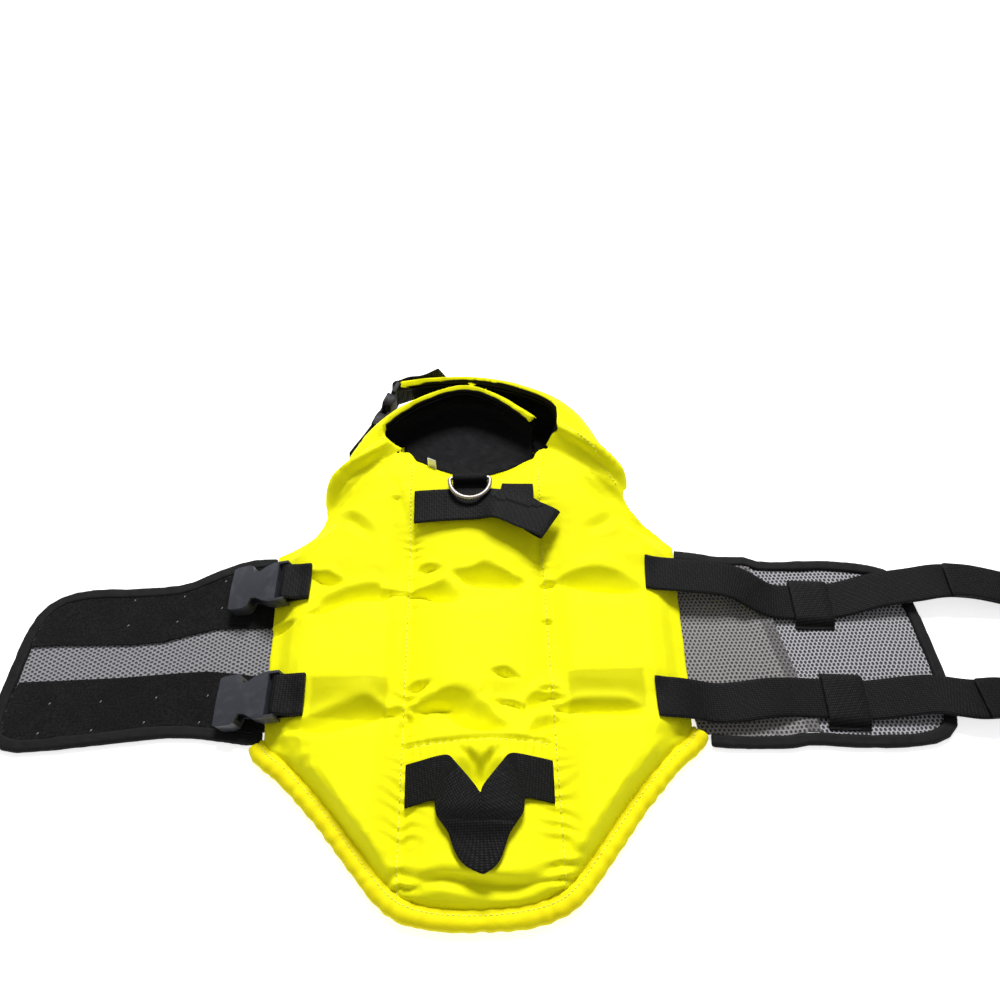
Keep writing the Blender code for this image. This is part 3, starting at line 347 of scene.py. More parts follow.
def relaxed(piece: bpy.types.Object, centre: Sequence[float], radius: float, rounds: int) -> None:
    """Smooths a piece round one place in millimetres."""
    places, _ = places_of(piece)
    weights = 1.0 - smooth(np.linalg.norm(places - centre, axis=1) / radius)
    group = piece.vertex_groups.new(name="relaxed")
    for index in np.flatnonzero(weights > 0.02):
        group.add([int(index)], float(weights[index]), "REPLACE")
    step = piece.modifiers.new("relax", "SMOOTH")
    step.factor = 0.5
    step.iterations = rounds
    step.vertex_group = group.name
    applied(piece)
    piece.vertex_groups.clear()


def spread(piece: bpy.types.Object, values: np.ndarray, rounds: int) -> np.ndarray:
    """Evens out one value a point along a piece's edges."""
    ends = np.empty(len(piece.data.edges) * 2, int)
    piece.data.edges.foreach_get("vertices", ends)
    first, second = ends.reshape(-1, 2).T
    count = len(values)
    shares = np.maximum(np.bincount(ends, minlength=count), 1)
    for _ in range(rounds):
        total = np.bincount(first, values[second], count) + np.bincount(second, values[first], count)
        values = 0.5 * values + 0.5 * total / shares
    return values


def finished(piece: bpy.types.Object, material: bpy.types.Material, angle: float = 180.0) -> None:
    """Gives a piece one material and smooth shading up to an angle in degrees."""
    piece.data.materials.clear()
    piece.data.materials.append(material)
    piece.data.shade_smooth()
    if angle < 180.0:
        piece.data.set_sharp_from_angle(angle=math.radians(angle))


def joined(piece: bpy.types.Object, slot: Slot, *nodes: str, body: str = JACKET) -> None:
    """Hides the solids that a piece stands for, hangs the piece on the body that carries it and logs its faces."""
    if nodes:
        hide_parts(*nodes)
    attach(piece, body)
    LOG.info("%s: %d faces", piece.name, len(piece.data.polygons))


class Ground:
    """The outer surface of pieces, for what lies on them."""

    def __init__(self, pieces: Sequence[bpy.types.Object]) -> None:
        """Gathers the pieces' faces."""
        points, faces = [], []
        for piece in pieces:
            start = len(points)
            points += [vertex.co.copy() for vertex in piece.data.vertices]
            faces += [[start + i for i in face.vertices] for face in piece.data.polygons]
        self.tree = BVHTree.FromPolygons(points, faces)

    def at(self, x: float, y: float) -> tuple[float, Vector] | None:
        """The height in millimetres and the normal under a place, or None."""
        spot, normal, _, _ = self.tree.ray_cast(Vector((x * MM, y * MM, 0.2)), Vector((0.0, 0.0, -1.0)))
        return None if spot is None else (spot.z / MM, normal if normal.z > 0 else -normal)


# ---- finishes -----------------------------------------------------------------------------------


class Graph:
    """A material's nodes, with short calls that add to them."""

    def __init__(self, name: str) -> None:
        """Starts a material with its shader."""
        self.material = bpy.data.materials.new(name)
        self.material.use_nodes = True
        self.tree = self.material.node_tree
        self.shader = self.tree.nodes["Principled BSDF"]

    def feed(self, socket: Socket, source: Source) -> None:
        """Links a socket, or sets it."""
        if isinstance(source, bpy.types.NodeSocket):
            self.tree.links.new(source, socket)
        else:
            socket.default_value = source

    def add(self, kind: str, sources: Sequence[Source] = (), **settings: object) -> bpy.types.Node:
        """A node.

        Args:
            kind: the node's type without its prefix.
            sources: what feeds its first sockets.
            settings: its properties and further sockets by name.

        Returns:
            The node.
        """
        node = self.tree.nodes.new("ShaderNode" + kind)
        for key, value in settings.items():
            if key in node.inputs:
                node.inputs[key].default_value = value
            else:
                setattr(node, key, value)
        for socket, source in zip(node.inputs, sources):
            self.feed(socket, source)
        return node

    def math(self, operation: str, *sources: Source) -> Socket:
        """The result of a sum on numbers."""
        return self.add("Math", sources, operation=operation).outputs[0]

    def vector(self, operation: str, *sources: Source) -> Socket:
        """The result of a sum on vectors."""
        node = self.add("VectorMath", sources, operation=operation)
        return node.outputs["Value" if operation in ("LENGTH", "DISTANCE") else "Vector"]

    def place(self) -> Socket:
        """Coordinates in metres in the jacket's frame."""
        return self.add("TexCoord").outputs["Object"]

    def run(self) -> Socket:
        """Coordinates in metres along and across a strip."""
        return self.add("UVMap", uv_map="run").outputs["UV"]

    def noise(self, coords: Socket, size: float, detail: float = 2.0) -> Socket:
        """Noise whose lumps are about size millimetres."""
        return self.add("TexNoise", (coords,), Scale=1.0 / (size * MM), Detail=detail).outputs["Fac"]

    def bands(self, coords: Socket, pitch: float, axis: str, wander: float = 0.0) -> Socket:
        """Waves along an axis, pitch millimetres apart."""
        node = self.add("TexWave", (coords,), Scale=math.pi / (10.0 * pitch * MM), Distortion=wander)
        node.bands_direction = axis
        return node.outputs["Fac"]

    def between(self, factor: Socket, low: Socket | Sequence[float], high: Sequence[float]) -> Socket:
        """A colour between two."""
        node = self.add("Mix", data_type="RGBA")
        self.feed(node.inputs[0], factor)
        self.feed(node.inputs[6], low if isinstance(low, bpy.types.NodeSocket) else (*low, 1.0))
        self.feed(node.inputs[7], (*high, 1.0))
        return node.outputs[2]

    def level(self, value: Socket, low: float, high: float, start: float = 0.0, end: float = 1.0) -> Socket:
        """A value scaled from one range to another and held within it."""
        node = self.add("MapRange", (value, low, high, start, end))
        return node.outputs[0]

    def bump(self, height: Socket, depth: float, strength: float = 1.0, normal: Socket | None = None) -> Socket:
        """A normal bent by a height of so many millimetres."""
        node = self.add("Bump", Strength=strength, Distance=depth * MM)
        self.feed(node.inputs["Height"], height)
        if normal is not None:
            self.feed(node.inputs["Normal"], normal)
        return node.outputs[0]

    def shade(self, **sources: Source) -> bpy.types.Material:
        """Feeds the shader's sockets, named with underscores for spaces."""
        for key, source in sources.items():
            self.feed(self.shader.inputs[key.replace("_", " ")], source)
        return self.material


@dataclass(frozen=True)
class CoatedNylon:
    """Plain-weave nylon with a light coat: panels, flaps, hem and lining."""

    name: str
    dull: tuple[float, float, float]
    bright: tuple[float, float, float]
    roughness: float
    weave: float = 0.55
    crumple: float = 0.6
    gloss: float = 0.05
    patch: float = 0.0  # how much duller the cloth is where belts are sewn on under it
    turn_over: float = 0.56  # how far inwards the neck's rim faces where its black lining begins
    lined: tuple[float, float, float] = (0.006, 0.006, 0.008)  # the lining's colour on the rim
    patch_place: tuple[float, float] = (0.079, 0.024)  # of the patches, out from the middle and tailwards, metres

    def material(self) -> bpy.types.Material:
        """The finish as a material."""
        graph = Graph(self.name)
        coords = graph.place()
        tone = graph.math("ADD", graph.noise(coords, 42.0, 3.0), graph.math("MULTIPLY", graph.noise(coords, 1.1), 0.3))
        threads = graph.math(
            "MAXIMUM", graph.bands(coords, self.weave, "X"), graph.bands(coords, self.weave, "Y")
        )
        wrinkles = graph.bump(graph.noise(coords, 9.0, 4.0), self.crumple, 0.6)
        colour = graph.between(graph.level(tone, 0.4, 0.95), self.dull, self.bright)
        if self.patch:
            threaded = graph.math("MULTIPLY", self.belt_patch(graph, coords), graph.level(threads, 0.0, 1.0, 0.5, 1.0))
            duller = [value * (1.0 - self.patch) for value in self.dull]
            colour = graph.between(threaded, colour, duller)
            lined = graph.add("Attribute", attribute_name="lined").outputs["Fac"]
            lined = graph.level(lined, self.turn_over - 0.05, self.turn_over + 0.05)
            colour = graph.between(lined, colour, self.lined)
        return graph.shade(
            Base_Color=colour,
            Roughness=graph.level(
                graph.noise(coords, 6.0, 3.0), 0.2, 0.8, self.roughness - 0.05, self.roughness + 0.07
            ),
            Normal=graph.bump(threads, 0.05, 0.35, wrinkles),
            Specular_IOR_Level=self.gloss,
        )

    def belt_patch(self, graph: Graph, coords: Socket) -> Socket:
        """1 on the two patches over the belts sewn on under the side channels, and 0 elsewhere."""
        parts = graph.add("SeparateXYZ", (coords,)).outputs
        uneven = graph.level(graph.noise(coords, 8.0, 3.0), 0.0, 1.0, -0.0015, 0.0015)
        across = graph.math("ABSOLUTE", graph.math("SUBTRACT", graph.math("ABSOLUTE", parts[0]), self.patch_place[0]))
        along = graph.math("ABSOLUTE", graph.math("ADD", parts[1], self.patch_place[1]))
        wide = graph.level(graph.math("ADD", across, uneven), 0.0245, 0.022)
        long = graph.level(graph.math("ADD", along, uneven), 0.0135, 0.0115)
        return graph.math("MULTIPLY", wide, long)


@dataclass(frozen=True)
class RibbedWebbing:
    """Woven belt with ribs across it and herringbone edges."""

    name: str
    dark: tuple[float, float, float]
    light: tuple[float, float, float]
    rib: float = 1.7
    yarn: float = 1.35

    def material(self) -> bpy.types.Material:
        """The finish as a material."""
        graph = Graph(self.name)
        run = graph.run()
        ribs = graph.bands(run, self.rib, "X", 0.4)
        yarns = graph.bands(run, self.yarn, "Y", 0.4)
        slant = graph.bands(run, 2.3, "DIAGONAL")
        height = graph.math("ADD", graph.math("MULTIPLY", ribs, yarns), graph.math("MULTIPLY", slant, 0.25))
        tone = graph.math("MULTIPLY", height, graph.noise(run, 3.0, 3.0))
        return graph.shade(
            Base_Color=graph.between(graph.level(tone, 0.2, 0.7), self.dark, self.light),
            Roughness=graph.level(height, 0.0, 1.2, 0.72, 0.5),
            Normal=graph.bump(height, 0.25, 0.7),
            Sheen_Weight=0.03,
            Sheen_Roughness=0.4,
            Specular_IOR_Level=0.14,
        )


@dataclass(frozen=True)
class SpacerNet:
    """Knitted spacer net: staggered round holes over a dark backing."""

    name: str
    yarn: tuple[float, float, float]
    hole: tuple[float, float, float]
    pitch: float = 2.8
    radius: float = 0.84
    lean: float = 0.0  # degrees that the rows lean
    doubled: bool = False  # whether it lies double along the seam that joins it to the end piece

    def material(self) -> bpy.types.Material:
        """The finish as a material."""
        graph = Graph(self.name)
        coords = graph.place()
        turned = graph.add("VectorRotate", (coords,), rotation_type="Z_AXIS", Angle=math.radians(self.lean))
        drift = graph.add("TexNoise", (coords,), Scale=70.0, Detail=1.0).outputs["Color"]
        drift = graph.vector("MULTIPLY", graph.vector("SUBTRACT", drift, (0.5, 0.5, 0.5)), (0.0018,) * 3)
        spot = graph.vector("ADD", turned.outputs[0], drift)
        half = (self.pitch * MM / 2, self.pitch * MM * math.sqrt(3) / 2, 1.0)
        under = tuple(-value for value in half)
        flat = (1.0, 0.82, 0.0)
        first = graph.vector("LENGTH", graph.vector("MULTIPLY", graph.vector("WRAP", spot, half, under), flat))
        shifted = graph.vector("ADD", spot, (half[0], half[1], 0.0))
        second = graph.vector("LENGTH", graph.vector("MULTIPLY", graph.vector("WRAP", shifted, half, under), flat))
        gap = graph.math("MINIMUM", first, second)
        solid = graph.level(gap, (self.radius - 0.22) * MM, (self.radius + 0.25) * MM)
        fuzz = graph.noise(coords, 0.7, 3.0)
        tone = graph.math("MULTIPLY", solid, graph.level(fuzz, 0.2, 0.8, 0.72, 1.0))
        if self.doubled:
            parts = graph.add("SeparateXYZ", (coords,)).outputs
            seam = graph.math("ADD", parts[0], graph.math("MULTIPLY", parts[1], 0.16))
            tone = graph.math("MULTIPLY", tone, graph.level(seam, 0.192, 0.1935, 1.0, 0.5))
        return graph.shade(
            Base_Color=graph.between(tone, self.hole, self.yarn),
            Roughness=0.75,
            Normal=graph.bump(graph.math("ADD", solid, graph.math("MULTIPLY", fuzz, 0.3)), 0.8, 0.9),
            Sheen_Weight=0.1,
        )


@dataclass(frozen=True)
class FuzzyPile:
    """The loop side of hook-and-loop tape."""

    name: str
    deep: tuple[float, float, float]
    tips: tuple[float, float, float]

    def material(self) -> bpy.types.Material:
        """The finish as a material."""
        graph = Graph(self.name)
        coords = graph.place()
        loops = graph.noise(coords, 1.3, 5.0)
        patches = graph.noise(coords, 14.0, 3.0)
        tone = graph.math("MULTIPLY", graph.level(loops, 0.35, 0.75), graph.level(patches, 0.3, 0.7, 0.5, 1.0))
        return graph.shade(
            Base_Color=graph.between(tone, self.deep, self.tips),
            Roughness=0.95,
            Normal=graph.bump(loops, 0.7, 0.8),
            Sheen_Weight=0.2,
            Sheen_Roughness=0.5,
            Sheen_Tint=(0.6, 0.6, 0.65, 1.0),
            Specular_IOR_Level=0.1,
        )


@dataclass(frozen=True)
class WovenTape:
    """Narrow woven tape: bindings and the small tab."""

    name: str
    dark: tuple[float, float, float]
    light: tuple[float, float, float]
    rib: float = 0.8

    def material(self) -> bpy.types.Material:
        """The finish as a material."""
        graph = Graph(self.name)
        coords = graph.place()
        ribs = graph.math("MULTIPLY", graph.bands(coords, self.rib, "X", 0.6), graph.bands(coords, self.rib, "Y", 0.6))
        tone = graph.math("ADD", ribs, graph.noise(coords, 5.0, 3.0))
        return graph.shade(
            Base_Color=graph.between(graph.level(tone, 0.3, 1.4), self.dark, self.light),
            Roughness=0.7,
            Normal=graph.bump(ribs, 0.12, 0.5, graph.bump(graph.noise(coords, 6.0, 3.0), 0.3, 0.5)),
            Sheen_Weight=0.04,
            Specular_IOR_Level=0.15,
        )


@dataclass(frozen=True)
class MouldedPlastic:
    """Satin acetal with a faint mould grain and rubbed spots."""

    name: str
    colour: tuple[float, float, float]
    rubbed: tuple[float, float, float]
    roughness: float
    gloss: float = 0.5

    def material(self) -> bpy.types.Material:
        """The finish as a material."""
        graph = Graph(self.name)
        coords = graph.place()
        wear = graph.level(graph.noise(coords, 7.0, 4.0), 0.5, 0.75)
        return graph.shade(
            Base_Color=graph.between(wear, self.colour, self.rubbed),
            Roughness=graph.level(
                graph.noise(coords, 2.0, 3.0), 0.3, 0.7, self.roughness - 0.05, self.roughness + 0.08
            ),
            Normal=graph.bump(graph.noise(coords, 0.5, 2.0), 0.03, 0.5),
            Specular_IOR_Level=self.gloss,
        )


@dataclass(frozen=True)
class PlatedSteel:
    """Nickel-plated wire with fine handling marks."""

    name: str
    colour: tuple[float, float, float]
    worn: tuple[float, float, float]

    def material(self) -> bpy.types.Material:
        """The finish as a material."""
        graph = Graph(self.name)
        coords = graph.place()
        marks = graph.noise(coords, 1.6, 5.0)
        return graph.shade(
            Base_Color=graph.between(graph.level(marks, 0.35, 0.75), self.colour, self.worn),
            Roughness=graph.level(marks, 0.3, 0.7, 0.44, 0.56),
            Normal=graph.bump(marks, 0.015, 0.2),
            Metallic=1.0,
        )


@dataclass(frozen=True)
class Thread:
    """Sewing thread."""

    name: str
    colour: tuple[float, float, float]
    shade: tuple[float, float, float]
    fuzz: float = 0.2
    gloss: float = 0.5

    def material(self) -> bpy.types.Material:
        """The finish as a material."""
        graph = Graph(self.name)
        coords = graph.place()
        twist = graph.bands(coords, 0.45, "DIAGONAL")
        return graph.shade(
            Base_Color=graph.between(twist, self.shade, self.colour),
            Roughness=0.6,
            Normal=graph.bump(twist, 0.08, 0.6),
            Sheen_Weight=self.fuzz,
            Specular_IOR_Level=self.gloss,
        )


YELLOW = CoatedNylon("yellow_cloth", (0.9, 0.88, 0.006), (0.98, 0.97, 0.009), 0.6, patch=0.25).material()
HEM_YELLOW = CoatedNylon("hem_cloth", (0.84, 0.71, 0.005), (0.95, 0.88, 0.008), 0.6).material()
BLACK_NYLON = CoatedNylon(
    "lining_cloth", (0.003, 0.003, 0.004), (0.006, 0.006, 0.008), 0.58, crumple=1.6, gloss=0.06
).material()
BLACK_WEBBING = RibbedWebbing("belt_weave", (0.0025, 0.0025, 0.003), (0.02, 0.02, 0.022)).material()
PALE_NET = SpacerNet("pale_net", (0.5, 0.49, 0.53), (0.02, 0.02, 0.022)).material()
BAND_NET = SpacerNet("band_net", (0.31, 0.305, 0.33), (0.035, 0.035, 0.04), lean=90.0, radius=0.74).material()
DARK_NET = SpacerNet("doubled_net", (0.31, 0.295, 0.3), (0.03, 0.029, 0.029), radius=0.7, doubled=True).material()
PILE = FuzzyPile("pile_loops", (0.002, 0.002, 0.002), (0.015, 0.015, 0.016)).material()
BLACK_TAPE = WovenTape("binding_weave", (0.004, 0.004, 0.0045), (0.013, 0.013, 0.014)).material()
WHITE_TAPE = WovenTape("tab_weave", (0.86, 0.86, 0.86), (0.98, 0.98, 0.98), rib=0.5).material()
SLATE_PLASTIC = MouldedPlastic("buckle_acetal", (0.03, 0.032, 0.041), (0.05, 0.053, 0.064), 0.38).material()
BLACK_PLASTIC = MouldedPlastic(
    "neck_buckle_acetal", (0.008, 0.008, 0.01), (0.016, 0.016, 0.019), 0.5, gloss=0.15
).material()
RING_STEEL = PlatedSteel("ring_plating", (0.44, 0.41, 0.38), (0.34, 0.3, 0.26)).material()
YELLOW_THREAD = Thread("yellow_thread", (0.95, 0.92, 0.12), (0.75, 0.72, 0.06)).material()
BLACK_THREAD = Thread("black_thread", (0.018, 0.018, 0.02), (0.006, 0.006, 0.007), fuzz=0.0, gloss=0.15).material()
GREY_THREAD = Thread("grey_thread", (0.32, 0.31, 0.3), (0.15, 0.15, 0.15)).material()


# ---- sewing -------------------------------------------------------------------------------------


@dataclass
class Sewing:
    """Rows of stitches laid on the cloth, as one mesh."""

    name: str
    material: bpy.types.Material
    slot: Slot
    ground: Ground
    thickness: float = 0.55
    sides: int = 6
    stitches: list[tuple[Vector, Vector, Vector, float]] = field(default_factory=list)

    def row(self, path: Points, length: float = 2.0, gap: float = 1.0, offset: float = 0.0) -> None:
        """A row of stitches along a plan curve.

        Args:
            path: x and y of the curve.
            length: length of one stitch.
            gap: cloth left bare between two.
            offset: distance to the curve's left.
        """
        line = curve(path, SEAM_STEP)[:, :2]
        pitch = round((length + gap) / SEAM_STEP)
        half = max(round(length / (2 * SEAM_STEP)), 1)
        for k in range(half, len(line) - half, pitch):
            along = line[k + half] - line[k - half]
            along = along / max(np.linalg.norm(along), 1e-6)
            spot = line[k] + np.array((-along[1], along[0])) * offset
            self.stitch(spot, along, length)

    def stitch(self, spot: Sequence[float], along: Sequence[float], length: float) -> None:
        """One stitch on the cloth under a place."""
        found = self.ground.at(spot[0], spot[1])
        if found is None:
            return
        height, normal = found
        run = Vector((along[0], along[1], 0.0))
        run = (run - normal * run.dot(normal)).normalized()
        self.stitches.append((Vector((spot[0], spot[1], height)), run, normal, length))

    def build(self) -> bpy.types.Object:
        """The stitches as one piece, hung on the jacket's body."""
        shape = bmesh.new()
        rings = ((-0.5, 0.35, -0.25), (-0.32, 0.85, 0.1), (0.0, 1.0, 0.2), (0.32, 0.85, 0.1), (0.5, 0.35, -0.25))
        for centre, run, normal, length in self.stitches:
            across = normal.cross(run)
            loops = []
            for share, girth, rise in rings:
                middle = centre + run * (share * length) + normal * (rise * self.thickness)
                radius = girth * self.thickness / 2
                loop = []
                for k in range(self.sides):
                    turn = 2 * math.pi * k / self.sides
                    point = middle + (across * math.cos(turn) + normal * math.sin(turn)) * radius
                    loop.append(shape.verts.new(point * MM))
                loops.append(loop)
            for a, b in zip(loops, loops[1:]):
                for k in range(self.sides):
                    n = (k + 1) % self.sides
                    shape.faces.new((a[k], a[n], b[n], b[k]))
            shape.faces.new(loops[0][::-1])
            shape.faces.new(loops[-1])
        piece = made(self.name, shape)
        finished(piece, self.material)
        joined(piece, self.slot)
        return piece


# ---- the outer cloth ----------------------------------------------------------------------------


RING_CENTRE = (4.0, 172.0)  # middle of the neck opening
PANEL_SEAM = 44.0  # x of the seams between the foam channels
FLAP_START = 122.0  # y beyond which the cloth belongs to the neck flaps


@dataclass
class OuterCloth:
    """The yellow cloth: three foam channels and two neck flaps, sewn to each other."""

    creases: Sequence[Crease]
    nodes: tuple[str, ...] = ("back_centre", "back_left", "back_right", "left_flap", "right_flap")
    voxel: float = 1.4
    rounds: int = 4
    closing: float = 0.6
    swell: float = 0.5
    pucker: float = 1.0
    groove: float = 1.1  # depth of the dip that a panel seam sits in
    deepening: float = 2.3  # of the creases, by the foam's bending
    flap_depth: float = 1.1  # the deepest that a crease goes into a neck flap
    fullness: float = 2.2  # how far the foam's edge lifts the cloth beside the hem
    eased: Points = ((107.0, 121.5, 20.0), (-109.0, 121.5, 20.0))  # the flaps' lower ends, pressed flat
    end_box: Points = ((39.0, 156.0, 5.0), (53.0, 194.0, 35.5))  # round the left flap's end

    def facing(self, places: np.ndarray, normals: np.ndarray) -> np.ndarray:
        """How far each point belongs to the outside, from 0 to 1."""
        out = places[:, :2] - RING_CENTRE
        out = out / np.maximum(np.linalg.norm(out, axis=1), 1.0)[:, None]
        radial = (out * normals[:, :2]).sum(1)
        collar = smooth((places[:, 1] - 118.0) / 10.0)
        inner = collar * smooth((-radial - 0.1) / 0.3)
        seen = smooth((np.maximum(normals[:, 2], collar * radial) + 0.1) / 0.6)
        return seen * (1.0 - inner) * smooth((places[:, 2] - 2.0) / 4.0)

    def gathers(self, places: np.ndarray) -> np.ndarray:
        """The small pleats that the panel seams draw up."""
        across = np.abs(np.abs(places[:, 0]) - PANEL_SEAM)
        slant = places[:, 1] + 0.9 * across * NOISE(places, 26.0)
        waves = np.sin(slant / 1.25 + 4.5 * NOISE(places * (0.1, 1.0, 0.0), 9.0))
        strength = np.clip(0.35 + 0.9 * NOISE(places + 50.0, 15.0), 0.0, 1.2)
        tight = np.maximum(hump(places[:, 1], -24.0, 20.0), 0.8 * smooth((-60.0 - places[:, 1]) / 20.0))
        reach = 6.5 + 2.5 * smooth((-60.0 - places[:, 1]) / 20.0)
        seams = self.pucker * np.exp(-((across / reach) ** 2)) * waves * np.maximum(strength, 1.5 * tight)
        below = np.abs(places[:, 1] + 57.0)
        pleats = np.sin(places[:, 0] / 0.8 + 2.0 * NOISE(places, 12.0)) * smooth((42.0 - np.abs(places[:, 0])) / 4.0)
        seams -= self.groove * np.exp(-((across / 1.9) ** 2))
        return seams + 0.8 * self.pucker * np.exp(-((below / 4.0) ** 2)) * pleats

    def line_the_neck(self, piece: bpy.types.Object) -> None:
        """Marks where the lining turns over the neck's rim and covers the left flap's end."""
        places, normals = places_of(piece)
        out = places[:, :2] - RING_CENTRE
        reach = np.maximum(np.linalg.norm(out, axis=1), 1.0)
        inwards = -(out * normals[:, :2]).sum(1) / reach
        rim = (places[:, 1] > 152.0) & ((reach < 60.0) | (places[:, 1] > 177.0))
        low, high = self.end_box
        end = np.all((places > low) & (places < high), axis=1) & (normals @ np.array((0.815, -0.58, 0.0)) > 0.35)
        lined = spread(piece, np.where(end, 1.0, inwards * rim), rounds=8)
        piece.data.attributes.new("lined", "FLOAT", "POINT").data.foreach_set("value", lined)

    def edge_lift(self, places: np.ndarray) -> np.ndarray:
        """How much fuller the cloth stands beside the tail hem."""
        distance, _, _ = nearest(curve(HEM_LINE, 3.0)[:, :2], places[:, :2])
        inside = distance - HEM_WIDTH
        rise = smooth(inside / 3.5) * (1.0 - smooth((inside - 4.0) / 11.0))
        return self.fullness * rise * smooth((-46.0 - places[:, 1]) / 12.0)

    def build(self) -> bpy.types.Object:
        """The cloth, shaped and hung on the jacket's body, with its solids hidden."""
        piece = softened("outer_cloth", self.nodes, self.voxel, self.rounds, self.closing)
        places, normals = places_of(piece)
        shift = self.swell * NOISE(places, 24.0) + 0.3 * self.swell * NOISE(places, 8.0)
        for crease in self.creases:
            shift += self.deepening * crease.relief(places)
        shift = np.where(places[:, 1] > FLAP_START, np.maximum(shift, -self.flap_depth), shift)
        shift += self.gathers(places) * smooth((128.0 - places[:, 1]) / 12.0)
        seen = self.facing(places, normals)
        places += normals * (shift * seen)[:, None]
        places[:, 2] += self.edge_lift(places) * seen
        moved(piece, places)
        for spot in self.eased:
            relaxed(piece, spot, radius=15.0, rounds=30)
        self.line_the_neck(piece)
        finished(piece, YELLOW)
        joined(piece, Slot.NYLON, *self.nodes)
        return piece


